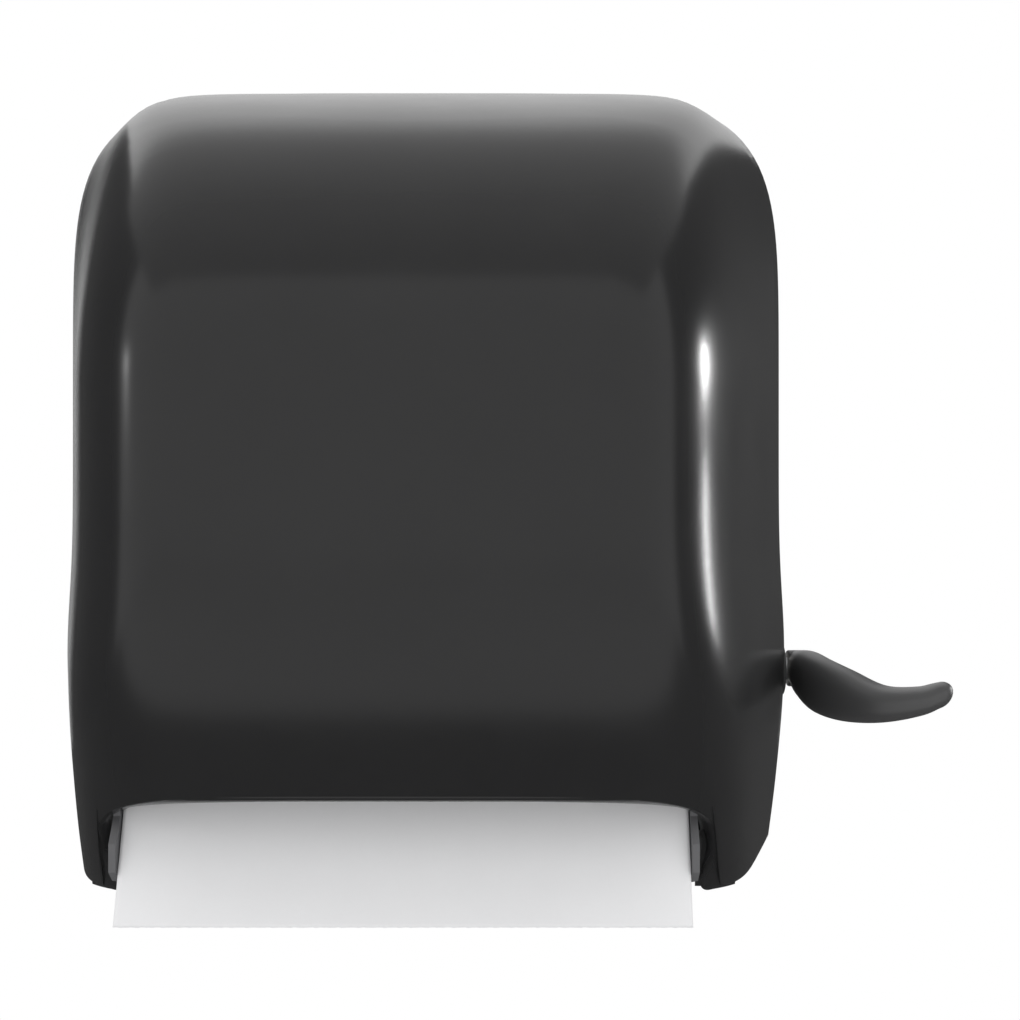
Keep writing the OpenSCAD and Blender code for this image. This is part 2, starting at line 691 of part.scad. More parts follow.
// Ribbed rubber sleeves that grip the towel
module drive_sleeves() color("#1c1c1e") for (x = [-90, -25, 40]) difference() {
    rod(x, 50, drive_d, drive_z, drive_r);
    rod(x - 1, 52, drive_d, drive_z, drive_r - 2.5);
    for (g = [6.5 : 9 : 50]) translate([x + g, -drive_d, drive_z]) rotate([0, 90, 0])
        rotate_extrude($fn = 48) translate([drive_r - 0.6, 0]) square([1.2, 1.2]);
}

// Ribbed knob for threading the towel by hand
module feed_knob() color("#2c2c2e") difference() {
    union() {
        rod(-knob_x1, knob_x1 - knob_x0, drive_d, drive_z, 11.5);
        for (a = [0 : 30 : 330]) rod(-knob_x1 + 1, knob_x1 - knob_x0 - 2, drive_d + 11.2 * cos(a),
            drive_z + 11.2 * sin(a), 1.6, 16);
    }
    rod(-knob_x1 - 1, knob_x1 - knob_x0 + 2, drive_d, drive_z, shaft_r);
}

// Swinging frame that presses the pinch rollers against the drive roller
module pressure_arm() color("#2c2c2e") {
    both_sides() difference() {
        along_x(arm_lug_x, plate_x - free_gap - arm_lug_x) union() {
            translate([arm_pivot_d, arm_pivot_z]) circle(r = 5, $fn = 48);
            translate([pinch_d, pinch_z]) circle(r = 5, $fn = 48);
            polygon([[arm_pivot_d - 4.6, arm_pivot_z + 2], [arm_pivot_d + 4.2, arm_pivot_z - 2.6],
                [pinch_d + 4.4, pinch_z - 2.4], [pinch_d - 4.4, pinch_z + 2.4]]);
        }
        rod(arm_lug_x - 1, 12, arm_pivot_d, arm_pivot_z, arm_pin_r + run_gap);
        rod(arm_lug_x - 1, 12, pinch_d, pinch_z, pinch_shaft_r + run_gap);
    }
    along_x(-arm_lug_x - 0.01, 2 * arm_lug_x + 0.02)
        polygon([for (p = [[-6, -12], [-3.8, -13.4], [2.4, -6.2], [-0.4, -5.2]])
            [arm_pivot_d + p[0], arm_pivot_z + p[1]]]);
}

module pressure_pins() color("silver") both_sides() {
    rod(arm_lug_x - 10, plate_out - arm_lug_x + 10, arm_pivot_d, arm_pivot_z, arm_pin_r, 32);
}

pressure_coil = coil(arm_lug_x - 8.4, arm_pivot_d, arm_pivot_z, 3.7, 4, 1.7, 0);
echo(pressure_spring_gap = self_gap(pressure_coil) - 1);

// Small torsion springs on the pressure arm's pins
module pressure_springs() color("silver") both_sides() {
    last = pressure_coil[len(pressure_coil) - 1];
    tube(concat([[arm_lug_x - 8.4, -arm_pivot_d - 3.4, arm_pivot_z - 3.2]], pressure_coil,
        [[last[0], last[1] + 0.2, last[2] + 4], [last[0], last[1] + 1, last[2] + 9]]), 0.5);
}

module pinch_shaft() color("silver")
    rod(-plate_x + free_gap + 0.2, 2 * (plate_x - free_gap - 0.2), pinch_d, pinch_z, pinch_shaft_r);

module pinch_rollers() color("#3a3a3c") for (x = [-80, -15, 50]) difference() {
    rod(x, 30, pinch_d, pinch_z, pinch_r);
    rod(x - 1, 32, pinch_d, pinch_z, pinch_shaft_r);
}

// ---- Roll and its arms ----

// Plate arm on the left or right that holds one end of the roll
module roll_arm(side) {
    difference() {
        union() {
            along_x(side > 0 ? arm_x : -arm_x - arm_t, arm_t) union() {
                translate([roll_d, roll_z]) circle(r = 15, $fn = 64);
                polygon([[arm_hinge_d, arm_low_z], [30, arm_low_z], [roll_d, roll_z - 15],
                    [roll_d, roll_z + 15], [30, arm_top_z], [arm_hinge_d, arm_top_z]]);
            }
            translate([side * arm_hinge_x, -arm_hinge_d, arm_low_z])
                cylinder(h = arm_top_z - arm_low_z, r = 4.2, $fn = 40);
            for (z = [roll_z - 9, roll_z + 9]) block([side * (arm_x + arm_t - 0.5), 16, z - 1],
                [side * (arm_x + arm_t + 2), roll_d - 6, z + 1]);
        }
        translate([side * arm_hinge_x, -arm_hinge_d, arm_low_z - 1])
            cylinder(h = arm_top_z - arm_low_z + 2, r = arm_pin_fit_r + run_gap, $fn = 24);
        rod(side > 0 ? arm_x - 1 : -arm_x - arm_t - 3, arm_t + 4, roll_d, roll_z, 4);
    }
}

module roll_arm_left() color("#3a3a3c") roll_arm(-1);
module roll_arm_right() color("#3a3a3c") roll_arm(1);

// Tapered hub that enters the core, with a peg in the arm
module roll_hub(side) {
    tip = core_in_r - 1.3;
    base = core_in_r - 0.5;
    flange_x = towel_w / 2 + free_gap;
    if (side > 0) taper(flange_x - 7.5, 7.5, roll_d, roll_z, tip, base);
    else taper(-flange_x, 7.5, roll_d, roll_z, base, tip);
    rod(side > 0 ? flange_x : -arm_x, arm_x - flange_x, roll_d, roll_z, core_r + 6);
    rod(side > 0 ? arm_x : -arm_x - arm_t, arm_t, roll_d, roll_z, 4);
}

module roll_hub_left() color("#c9c6bd") roll_hub(-1);
module roll_hub_right() color("#c9c6bd") roll_hub(1);

// Pins, fixed in the tray's lugs, on which the roll arms swing
module arm_pins() color("silver") for (s = [-1, 1])
    translate([s * arm_hinge_x, -arm_hinge_d, arm_low_z - 6])
        cylinder(h = arm_top_z - arm_low_z + 12, r = arm_pin_fit_r, $fn = 24);

module roll_core() color("#b08d63") difference() {
    rod(-towel_w / 2, towel_w, roll_d, roll_z, core_r, 64);
    rod(-towel_w, 2 * towel_w, roll_d, roll_z, core_in_r, 64);
}

module paper_roll() color("#f2f1ec") difference() {
    rod(-towel_w / 2, towel_w, roll_d, roll_z, roll_r, 96);
    rod(-towel_w, 2 * towel_w, roll_d, roll_z, core_r, 64);
}

// ---- Towel between the roll and its torn edge ----

roll_leave_r = roll_r + nip_play + paper_t / 2;
web_len = norm([drive_d - roll_d, drive_z - roll_z]);
leave_angle = atan2(drive_z - roll_z, drive_d - roll_d)
    - acos((roll_leave_r + web_r) / web_len);
WEB_WRAP = [for (i = [0 : 6]) let(a = leave_angle + 180
    + (nip_tilt - leave_angle - 180) * i / 6)
    [drive_d + web_r * cos(a), drive_z + web_r * sin(a)]];
nip_point = WEB_WRAP[6];
TAIL_DIR = [sin(nip_tilt), -cos(nip_tilt)];

// Closed outline of a sheet along a path in depth and height
function sheet_outline(path) = let(n = len(path), h = paper_t / 2,
    normals = [for (i = [0 : n - 1]) let(t = path[min(i + 1, n - 1)] - path[max(i - 1, 0)])
        [-t[1], t[0]] / norm(t)])
    concat([for (i = [0 : n - 1]) path[i] + h * normals[i]],
        [for (i = [n - 1 : -1 : 0]) path[i] - h * normals[i]]);

module paper_web() color("#f2f1ec") {
    leave = [roll_d + roll_leave_r * cos(leave_angle), roll_z + roll_leave_r * sin(leave_angle)];
    along_x(-towel_w / 2, towel_w) polygon(sheet_outline(concat([leave], WEB_WRAP)));
}

module paper_tail() color("#f2f1ec") {
    along_x(-towel_w / 2, towel_w) polygon(sheet_outline([nip_point,
        nip_point + TAIL_DIR * (nip_point[1] - tail_z) / cos(nip_tilt)]));
}

// ---- Cover and its lock ----

// The angle of the cover's skin, below the shoulder, that has a given x
function phi_at(x, z, inset, lo = 0, hi = 90, steps = 20) =
    let(mid = (lo + hi) / 2)
    steps == 0 ? mid
    : low_point(mid, 1, z, inset)[0] > x ? phi_at(x, z, inset, mid, hi, steps - 1)
    : phi_at(x, z, inset, lo, mid, steps - 1);
function skin_depth(x, z, inset) = -low_point(phi_at(x, z, inset), 1, z, inset)[1];

module front_cover() color("#343436") cover_shell();

// Cheek that hangs the cover on its hinge pin, with the fold that lies behind the cover's edge
module hinge_cheek(side) color("#2c2c2e") {
    front = [for (i = [0 : 7]) let(z = bottom_z + 0.6 + (cheek_top_z - bottom_z - 0.6) * i / 7)
        [skin_depth(fold_x, z, cover_wall) - seat_gap, z]];
    heel = [for (a = [80 : 20 : 220]) [hinge_d + 10 * cos(a), hinge_z + 10 * sin(a)]];
    mirror([side < 0 ? 1 : 0, 0, 0]) difference() {
        union() {
            along_x(cheek_x, cheek_t) polygon(concat(front, heel));
            along_x(cheek_x + cheek_t - 0.1, fold_x - cheek_x - cheek_t + 0.1)
                polygon(concat(front, [for (i = [7 : -1 : 0]) [front[i][0] - 2.8, front[i][1]]]));
        }
        rod(cheek_x - 1, cheek_t + 2, hinge_d, hinge_z, hinge_r + run_gap);
    }
}

module hinge_cheek_left() hinge_cheek(-1);
module hinge_cheek_right() hinge_cheek(1);

// Hook under the cover's top that reaches back into the tray, beside the lock
module cover_catch() color("#2c2c2e") {
    w = 7.5;
    seat = function(d) let(b = (d - tray_d - seam_gap) / (body_d - tray_d - seam_gap))
        shoulder_z + pow(1 - pow(b, edge_power_top), 1 / edge_power_top)
        * (top_h - top_flare * b - cover_wall) - seat_gap;
    along_x(catch_x, w) polygon([[42, seat(42)], [72, seat(72)], [72, seat(72) - 3],
        [50, seat(72) - 3], [44, hook_z + 3], [13, hook_z + 3], [13, cam_z - 0.6], [10.4, cam_z - 0.6],
        [10.4, hook_z + 4], [41, hook_z + 7]]);
}

module lock_place(z) {
    translate([0, -lock_d, z]) children();
}

module lock_barrel() color("silver") lock_place(0) difference() {
    union() {
        translate([0, 0, cam_z + 2.8]) cylinder(h = top_z - cam_z - 2.8, r = lock_r, $fn = 64);
        translate([0, 0, top_z]) cylinder(h = 2, r = lock_r + 2.5, $fn = 64);
    }
    translate([0, 0, cam_z]) cylinder(h = 40, r = lock_plug_r + run_gap, $fn = 48);
}

module lock_nut() color("silver") lock_place(top_z - tray_wall - 3) difference() {
    cylinder(h = 3, r = 11.4, $fn = 6);
    translate([0, 0, -1]) cylinder(h = 5, r = lock_r, $fn = 64);
}

module lock_plug() color("silver") lock_place(0) difference() {
    translate([0, 0, cam_z + 2.6]) cylinder(h = top_z + 1.4 - cam_z - 2.6, r = lock_plug_r, $fn = 48);
    translate([-0.9, -3.2, top_z - 8]) cube([1.8, 6.4, 12]);
}

// Flat cam under the lock. At rest it points forward, which leaves the cover free.
module lock_cam() color("silver") lock_place(cam_z) {
    cylinder(h = 2.6, r = 6, $fn = 48);
    translate([-3.6, -cam_len + 3.6, 0]) cube([7.2, cam_len - 3.6, 2.6]);
    translate([0, -cam_len + 3.6, 0]) cylinder(h = 2.6, r = 3.6, $fn = 48);
}

// ---- Lever ----

// A smooth curve through the lever's stations
function lever_at(t) =
    let(n = len(LEVER), i = min(floor(t), n - 2), u = t - i, p1 = LEVER[i], p2 = LEVER[i + 1],
        p0 = i > 0 ? LEVER[i - 1] : 2 * p1 - p2, p3 = i < n - 2 ? LEVER[i + 2] : 2 * p2 - p1)
    0.5 * (2 * p1 + (p2 - p0) * u + (2 * p0 - 5 * p1 + 4 * p2 - p3) * u * u
    + (3 * p1 - p0 - 3 * p2 + p3) * u * u * u);

lever_steps = 3;
lever_sides = 20;

// The ring of points round one station of the lever, square to its path in plan
function lever_ring(t) =
    let(n = len(LEVER) - 1, s = lever_at(t), before = lever_at(max(t - 0.05, 0)),
        after = lever_at(min(t + 0.05, n)), run = [after[0] - before[0], after[1] - before[1]],
        across = [run[1], -run[0]] / norm(run))
    [for (k = [0 : lever_sides - 1]) let(o = super_point(360 * k / lever_sides, 2.4))
        [s[0] + across[0] * s[3] * o[0], -(s[1] + across[1] * s[3] * o[0]), s[2] + s[4] * o[1]]];

module lever_blade() {
    count = (len(LEVER) - 1) * lever_steps + 1;
    rings = [for (i = [0 : count - 1]) each lever_ring(i / lever_steps)];
    walls = [for (i = [0 : count - 2]) for (k = [0 : lever_sides - 1])
        let(a = i * lever_sides + k, b = i * lever_sides + (k + 1) % lever_sides)
        each [[a, b, b + lever_sides], [a, b + lever_sides, a + lever_sides]]];
    ends = [[for (k = [lever_sides - 1 : -1 : 0]) k],
        [for (k = [0 : lever_sides - 1]) (count - 1) * lever_sides + k]];
    polyhedron(rings, [for (t = concat(walls, ends)) reversed(t)], convexity = 6);
}

module lever_handle() color("#343436") difference() {
    union() {
        lever_blade();
        rod(lever_root_x, lever_hub_w, lever_d, lever_z, lever_hub_r);
    }
    rod(lever_root_x - 1, lever_hub_w, lever_d, lever_z, lever_shaft_r);
    rod(lever_root_x + lever_hub_w - 1.01, 20, lever_d, lever_z, 4.5);
}

// Screw that holds the lever on its shaft
module lever_screw() color("silver") {
    rod(lever_root_x + lever_hub_w - 1, 2.4, lever_d, lever_z, 4.2);
}

wall_tray();
feed_plate_left();
feed_plate_right();
frame_screws();
tie_rods();
tear_bar();
tear_bar_screws();
paper_guide();
cover_hinge_pins();
lever_bushing();
lever_stop();
return_spring();
idler_pin();
roller_bushes();
arm_pins();
front_cover();
hinge_cheek_left();
hinge_cheek_right();
cover_catch();
lock_barrel();
lock_nut();
lock_plug();
lock_cam();
lever_handle();
lever_shaft();
segment_gear();
lever_screw();
idler_gear();
clutch_pinion();
drive_shaft();
drive_core();
drive_sleeves();
feed_knob();
pressure_arm();
pressure_pins();
pressure_springs();
pinch_shaft();
pinch_rollers();
roll_arm_left();
roll_arm_right();
roll_hub_left();
roll_hub_right();
roll_core();
paper_roll();
paper_web();
paper_tail();
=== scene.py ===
# %% [markdown]
# # A lever paper towel dispenser
# The dispenser hangs on a wall. A deep moulded cover hides a towel roll, and a lever on its right
# side turns rubber rollers that feed the towel out of an arch in the lower front. The construction
# comes packed from the CAD model: it is loaded first, and nothing in it is moved. This script adds
# the looks: smooth moulded skins, paper, springs, and a material for every piece.

# %% Load the construction
import json
import math
import bpy
import numpy as np
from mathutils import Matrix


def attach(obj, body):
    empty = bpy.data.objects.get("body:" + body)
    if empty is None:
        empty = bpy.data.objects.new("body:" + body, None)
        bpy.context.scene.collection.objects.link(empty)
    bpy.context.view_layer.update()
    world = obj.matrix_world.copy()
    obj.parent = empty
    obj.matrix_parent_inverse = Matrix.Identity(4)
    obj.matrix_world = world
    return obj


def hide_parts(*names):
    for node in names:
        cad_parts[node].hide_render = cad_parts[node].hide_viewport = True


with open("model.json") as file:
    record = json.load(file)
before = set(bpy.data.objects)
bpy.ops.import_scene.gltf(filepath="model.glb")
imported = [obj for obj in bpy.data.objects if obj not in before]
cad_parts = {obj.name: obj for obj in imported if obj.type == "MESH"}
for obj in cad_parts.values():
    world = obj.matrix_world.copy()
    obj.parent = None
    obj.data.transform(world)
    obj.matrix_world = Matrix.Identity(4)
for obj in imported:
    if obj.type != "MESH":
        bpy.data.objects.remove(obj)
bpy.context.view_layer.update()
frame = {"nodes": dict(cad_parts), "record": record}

# %% [markdown]
# ## Camera
# The photograph looks straight at the wall from a little right of the middle, so all the upright
# edges stay upright. A 50 mm lens at about 0.67 m from the wall gives its perspective: the left
# side wall of the cover lies just along the line of sight, and the right one is open to view.

# %% The photograph's camera
CAMERA_PLACE = (0.0374, -0.665, -0.022)
camera = bpy.data.objects.new("camera", bpy.data.cameras.new("camera"))
camera.data.lens = 50
camera.data.sensor_width = 36
camera.data.clip_start = 0.01
camera.location = CAMERA_PLACE
camera.rotation_euler = (math.radians(90), 0, 0)
bpy.context.scene.collection.objects.link(camera)
bpy.context.scene.camera = camera
print("camera at", CAMERA_PLACE)

# %% [markdown]
# ## From arrays to meshes
# Every new surface below is worked out as whole numpy arrays in millimetres, as a grid of points
# with a row for each station and a column for each point round it. One helper turns such arrays
# into a mesh in metres, and another lists the four-sided faces of a grid.

# %% Mesh helpers
MM = 0.001


def grid_faces(rows, columns, wrap=False, first=0):
    """The quads of a grid numbered row by row: each joins a point with its neighbours to the right
    and in the next row. With wrap the last column joins the first."""
    index = first + np.arange(rows * columns).reshape(rows, columns)
    if wrap:
        index = np.concatenate([index, index[:, :1]], axis=1)
    quads = np.stack([index[:-1, :-1], index[1:, :-1], index[1:, 1:], index[:-1, 1:]], axis=-1)
    return quads.reshape(-1, 4)


def loft_faces(rows, columns, first=0, flip=False):
    """The faces round a loft's sides, and one at each end that closes it."""
    faces = grid_faces(rows, columns, wrap=True, first=first).tolist()
    last = first + (rows - 1) * columns
    faces += [list(range(first, first + columns)), list(range(last, last + columns))[::-1]]
    return [face[::-1] for face in faces] if flip else faces


def make_piece(name, points, faces):
    """Makes a smooth object at the origin from points in millimetres and a list of faces."""
    mesh = bpy.data.meshes.new(name)
    mesh.from_pydata((np.asarray(points, float) * MM).tolist(), [], faces)
    mesh.validate()
    mesh.polygons.foreach_set("use_smooth", np.full(len(mesh.polygons), True))
    mesh.update()
    piece = bpy.data.objects.new(name, mesh)
    bpy.context.scene.collection.objects.link(piece)
    return piece


def finish_piece(piece, body, slot, material, *nodes):
    """Gives a piece its material and its body, and hides the CAD nodes that it stands for. The slot
    is not used.
    """
    piece.data.materials.clear()
    piece.data.materials.append(material)
    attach(piece, body)
    if nodes:
        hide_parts(*nodes)
    print(piece.name, "faces:", len(piece.data.polygons))
    return piece


def sharpen(piece, degrees):
    """Keeps edges crisp where two faces meet at more than an angle."""
    piece.data.set_sharp_from_angle(angle=math.radians(degrees))


print("mesh helpers ready")


# %% [markdown]
# ## Materials
# Most of the dispenser is moulded plastic. Real mouldings are never a flat colour: the mould
# leaves a fine grain, handling polishes it unevenly, and dust dulls it here and there. These
# effects are shared node groups that put out a colour, a roughness and a height, and each material
# keeps its own Principled BSDF, so the exporter can read it.

# %% A shared group: moulded grain
def new_group(name, inputs, outputs):
    """Makes a shader node group with named number or colour sockets. An input is a name, a kind
    and a default, and an output is a name and a kind."""
    group = bpy.data.node_groups.new(name, "ShaderNodeTree")
    for label, kind, value in inputs:
        socket = group.interface.new_socket(name=label, in_out="INPUT", socket_type=kind)
        socket.default_value = value
    for label, kind in outputs:
        group.interface.new_socket(name=label, in_out="OUTPUT", socket_type=kind)
    return group


def add(tree, kind, **settings):
    """Adds a node and sets the properties and inputs that are named."""
    node = tree.nodes.new(kind)
    for key, value in settings.items():
        if key in node.inputs:
            node.inputs[key].default_value = value
        else:
            setattr(node, key, value)
    return node


FLOAT, COLOR = "NodeSocketFloat", "NodeSocketColor"


def moulded_group():
    """Cloudy colour and gloss over a fine grain. Colour = base mixed with a lighter tone by broad
    noise, roughness = base plus a share of the same noise, height = fine noise."""
    group = new_group(
        "moulded_surface",
        [("Base", COLOR, (0.03, 0.03, 0.03, 1)), ("Tone", COLOR, (0.05, 0.05, 0.05, 1)),
         ("Cloud", FLOAT, 30.0), ("Grain", FLOAT, 2500.0), ("Roughness", FLOAT, 0.3),
         ("Spread", FLOAT, 0.08)],
        [("Color", COLOR), ("Roughness", FLOAT), ("Height", FLOAT)])
    ins, outs = group.nodes.new("NodeGroupInput"), group.nodes.new("NodeGroupOutput")
    place = add(group, "ShaderNodeTexCoord")
    cloud = add(group, "ShaderNodeTexNoise", Detail=3.0, Roughness=0.6)
    grain = add(group, "ShaderNodeTexNoise", Detail=2.0, Roughness=0.5)
    mix = add(group, "ShaderNodeMix", data_type="RGBA")
    gloss = add(group, "ShaderNodeMath", operation="MULTIPLY_ADD")
    centre = add(group, "ShaderNodeMath", operation="SUBTRACT")
    centre.inputs[1].default_value = 0.5
    link = group.links.new
    link(place.outputs["Object"], cloud.inputs["Vector"])
    link(place.outputs["Object"], grain.inputs["Vector"])
    link(ins.outputs["Cloud"], cloud.inputs["Scale"])
    link(ins.outputs["Grain"], grain.inputs["Scale"])
    link(cloud.outputs["Fac"], mix.inputs["Factor"])
    link(ins.outputs["Base"], mix.inputs["A"])
    link(ins.outputs["Tone"], mix.inputs["B"])
    link(mix.outputs["Result"], outs.inputs["Color"])
    link(cloud.outputs["Fac"], centre.inputs[0])
    link(centre.outputs[0], gloss.inputs[0])
    link(ins.outputs["Spread"], gloss.inputs[1])
    link(ins.outputs["Roughness"], gloss.inputs[2])
    link(gloss.outputs[0], outs.inputs["Roughness"])
    link(grain.outputs["Fac"], outs.inputs["Height"])
    return group


MOULDED = moulded_group()
print("shared group:", MOULDED.name, "with", len(MOULDED.nodes), "nodes")


def moulded(name, base, tone, roughness, spread=0.08, bump=0.05, grain=2500.0, specular=0.5,
            metallic=0.0):
    """A moulded or cast material: the shared group feeds one Principled BSDF."""
    material = bpy.data.materials.new(name)
    material.use_nodes = True
    tree = material.node_tree
    shader = tree.nodes["Principled BSDF"]
    group = tree.nodes.new("ShaderNodeGroup")
    group.node_tree = MOULDED
    group.inputs["Base"].default_value = (*base, 1)
    group.inputs["Tone"].default_value = (*tone, 1)
    group.inputs["Grain"].default_value = grain
    group.inputs["Roughness"].default_value = roughness
    group.inputs["Spread"].default_value = spread
    height = add(tree, "ShaderNodeBump", Strength=bump, Distance=0.0004)
    tree.links.new(group.outputs["Color"], shader.inputs["Base Color"])
    tree.links.new(group.outputs["Roughness"], shader.inputs["Roughness"])
    tree.links.new(group.outputs["Height"], height.inputs["Height"])
    tree.links.new(height.outputs["Normal"], shader.inputs["Normal"])
    shader.inputs["Metallic"].default_value = metallic
    shader.inputs["Specular IOR Level"].default_value = specular
    return material


# %% The plastics and metals
shell_plastic = moulded("shell_plastic", (0.018, 0.018, 0.0185), (0.022, 0.022, 0.0225), 0.22,
                        spread=0.05, bump=0.02, specular=0.3)
lever_plastic = moulded("lever_plastic", (0.055, 0.055, 0.056), (0.065, 0.065, 0.066), 0.42,
                        spread=0.06, bump=0.05)
tray_plastic = moulded("tray_plastic", (0.028, 0.028, 0.029), (0.040, 0.040, 0.041), 0.5, bump=0.12)
frame_plastic = moulded("frame_plastic", (0.10, 0.10, 0.105), (0.13, 0.13, 0.135), 0.48, bump=0.1)
acetal = moulded("acetal", (0.62, 0.59, 0.52), (0.72, 0.70, 0.64), 0.38, bump=0.05)
zinc = moulded("zinc", (0.50, 0.50, 0.51), (0.62, 0.62, 0.63), 0.3, metallic=1.0, bump=0.08)
sleeve_rubber = moulded("sleeve_rubber", (0.020, 0.020, 0.021), (0.035, 0.035, 0.035), 0.75,
                        bump=0.25, grain=1500.0)
print("plastics and metals ready")

# %% [markdown]
# ## Drawn steel
# Shafts, rods and spring wire are drawn and ground, so their gloss is streaked along their length.
# The streaks are noise on Object coordinates that a Mapping node squeezes across the X axis, along
# which all the dispenser's shafts lie.

# %% Steel
def drawn_steel(name, base, roughness, stretch=(12.0, 900.0, 900.0)):
    """Bright metal whose roughness varies in long streaks along X."""
    material = bpy.data.materials.new(name)
    material.use_nodes = True
    tree = material.node_tree
    shader = tree.nodes["Principled BSDF"]
    place = add(tree, "ShaderNodeTexCoord")
    squeeze = add(tree, "ShaderNodeMapping", Scale=stretch)
    streaks = add(tree, "ShaderNodeTexNoise", Scale=1.0, Detail=3.0)
    rough = add(tree, "ShaderNodeMapRange")
    rough.inputs["To Min"].default_value = roughness - 0.1
    rough.inputs["To Max"].default_value = roughness + 0.12
    tone = add(tree, "ShaderNodeMix", data_type="RGBA", A=(*base, 1),
               B=(*[c * 1.15 for c in base], 1))
    height = add(tree, "ShaderNodeBump", Strength=0.06, Distance=0.0002)
    link = tree.links.new
    link(place.outputs["Object"], squeeze.inputs["Vector"])
    link(squeeze.outputs["Vector"], streaks.inputs["Vector"])
    link(streaks.outputs["Fac"], rough.inputs["Value"])
    link(streaks.outputs["Fac"], tone.inputs["Factor"])
    link(tone.outputs["Result"], shader.inputs["Base Color"])
    link(rough.outputs["Result"], shader.inputs["Roughness"])
    link(streaks.outputs["Fac"], height.inputs["Height"])
    link(height.outputs["Normal"], shader.inputs["Normal"])
    shader.inputs["Metallic"].default_value = 1.0
    return material


shaft_steel = drawn_steel("shaft_steel", (0.56, 0.56, 0.57), 0.3)
sheet_steel = drawn_steel("sheet_steel", (0.60, 0.60, 0.60), 0.34, (20.0, 500.0, 500.0))
spring_steel = drawn_steel("spring_steel", (0.42, 0.43, 0.45), 0.28, (300.0, 300.0, 300.0))
print("steels ready")

# %% [markdown]
# ## Paper and board
# Towel paper is soft and matt: fine fibres, small clots and a slight unevenness of tone. On the
# ends of the roll the edges of its hundreds of turns show as rings, so that material adds waves
# of the distance from the roll's axis.

# %% Paper
ROLL_CENTRE = (0.0, -0.094, 0.032)


def paper(name, base, shade, rings=False, bump=0.2):
    """Matt fibrous paper. With rings the tone also waves with the distance from the roll's axis."""
    material = bpy.data.materials.new(name)
    material.use_nodes = True
    tree = material.node_tree
    shader = tree.nodes["Principled BSDF"]
    place = add(tree, "ShaderNodeTexCoord")
    centre = add(tree, "ShaderNodeMapping", Location=tuple(-c for c in ROLL_CENTRE))
    fibre = add(tree, "ShaderNodeTexNoise", Scale=900.0, Detail=6.0, Roughness=0.7)
    clots = add(tree, "ShaderNodeTexNoise", Scale=60.0, Detail=3.0)
    blend = add(tree, "ShaderNodeMath", operation="MULTIPLY_ADD")
    blend.inputs[1].default_value = 0.5
    tone = add(tree, "ShaderNodeMix", data_type="RGBA", A=(*base, 1), B=(*shade, 1))
    height = add(tree, "ShaderNodeBump", Strength=bump, Distance=0.0003)
    link = tree.links.new
    link(place.outputs["Object"], centre.inputs["Vector"])
    link(centre.outputs["Vector"], fibre.inputs["Vector"])
    link(centre.outputs["Vector"], clots.inputs["Vector"])
    link(fibre.outputs["Fac"], blend.inputs[0])
    pattern = clots.outputs["Fac"]
    if rings:
        waves = add(tree, "ShaderNodeTexWave", wave_type="RINGS", rings_direction="X", Scale=260.0,
                    Distortion=1.5, Detail=2.0)
        link(centre.outputs["Vector"], waves.inputs["Vector"])
        pattern = waves.outputs["Fac"]
    half = add(tree, "ShaderNodeMath", operation="MULTIPLY")
    half.inputs[1].default_value = 0.5
    link(pattern, half.inputs[0])
    link(half.outputs[0], blend.inputs[2])
    link(blend.outputs[0], tone.inputs["Factor"])
    link(tone.outputs["Result"], shader.inputs["Base Color"])
    link(blend.outputs[0], height.inputs["Height"])
    link(height.outputs["Normal"], shader.inputs["Normal"])
    shader.inputs["Roughness"].default_value = 0.92
    shader.inputs["Specular IOR Level"].default_value = 0.2
    return material


towel_paper = paper("towel_paper", (0.93, 0.93, 0.94), (0.88, 0.88, 0.89))
roll_paper = paper("roll_paper", (0.86, 0.86, 0.85), (0.66, 0.66, 0.64), rings=True)
core_board = paper("core_board", (0.42, 0.29, 0.17), (0.33, 0.22, 0.12), bump=0.35)
print("paper ready")

# %% [markdown]
# ## The cover
# The cover is one deep moulding, and it is most of what the photograph shows. Its form is a
# family of level sections: each is a superellipse that goes from the seam on one side, round the
# front, to the seam on the other. Below the shoulder the front falls back and the sides swell,
# and above it the sections shrink under a rounded top. The same formula made the CAD solid. Here
# it is worked out on a much finer grid, and its edges are rolled, as a moulding's are.

# %% The cover's measures, in millimetres
BODY_W, TOP_Z, BOTTOM_Z, BODY_D, TRAY_D = 313.7, 163.2, -167.5, 216.0, 35.0
WALL, SEAM_GAP, SHOULDER_Z, OUTLINE_POWER = 2.6, 0.5, 20.0, 5.2
BULGE, BULGE_Z, BULGE_REACH, TUCK_Z, TUCK = 2.4, -85.0, 35.0, -105.0, 5.0
FRONT_FLAT_Z, HEEL_D, FALL_POWER, FALL_BEND = -20.0, 128.0, 2.0, 0.8
SIDE_SLOPE, SIDE_SLOPE_LOW, CORNER_FLARE, TOP_FLARE = 0.318, 0.3, 0.9, 55.0
EDGE_POWER, EDGE_POWER_LOW, EDGE_POWER_TOP = 8.0, 8.0, 2.6
ARCH_HALF, ARCH_H, ARCH_POWER, LOBE_R = 113.0, 46.5, 5.0, 4.0
HINGE_D, HINGE_Z = 127.0, -156.0
EDGE_DROP = 1.3    # how far the rolled rim stands below the skin's own edge
TOP_H = TOP_Z - SHOULDER_Z
SIDE_FLARE = SIDE_SLOPE * (BODY_D - TRAY_D - SEAM_GAP)
SWING_R = HINGE_D - TRAY_D - 1
print("cover:", BODY_W, "wide,", TOP_Z - BOTTOM_Z, "high,", BODY_D, "deep, in millimetres")


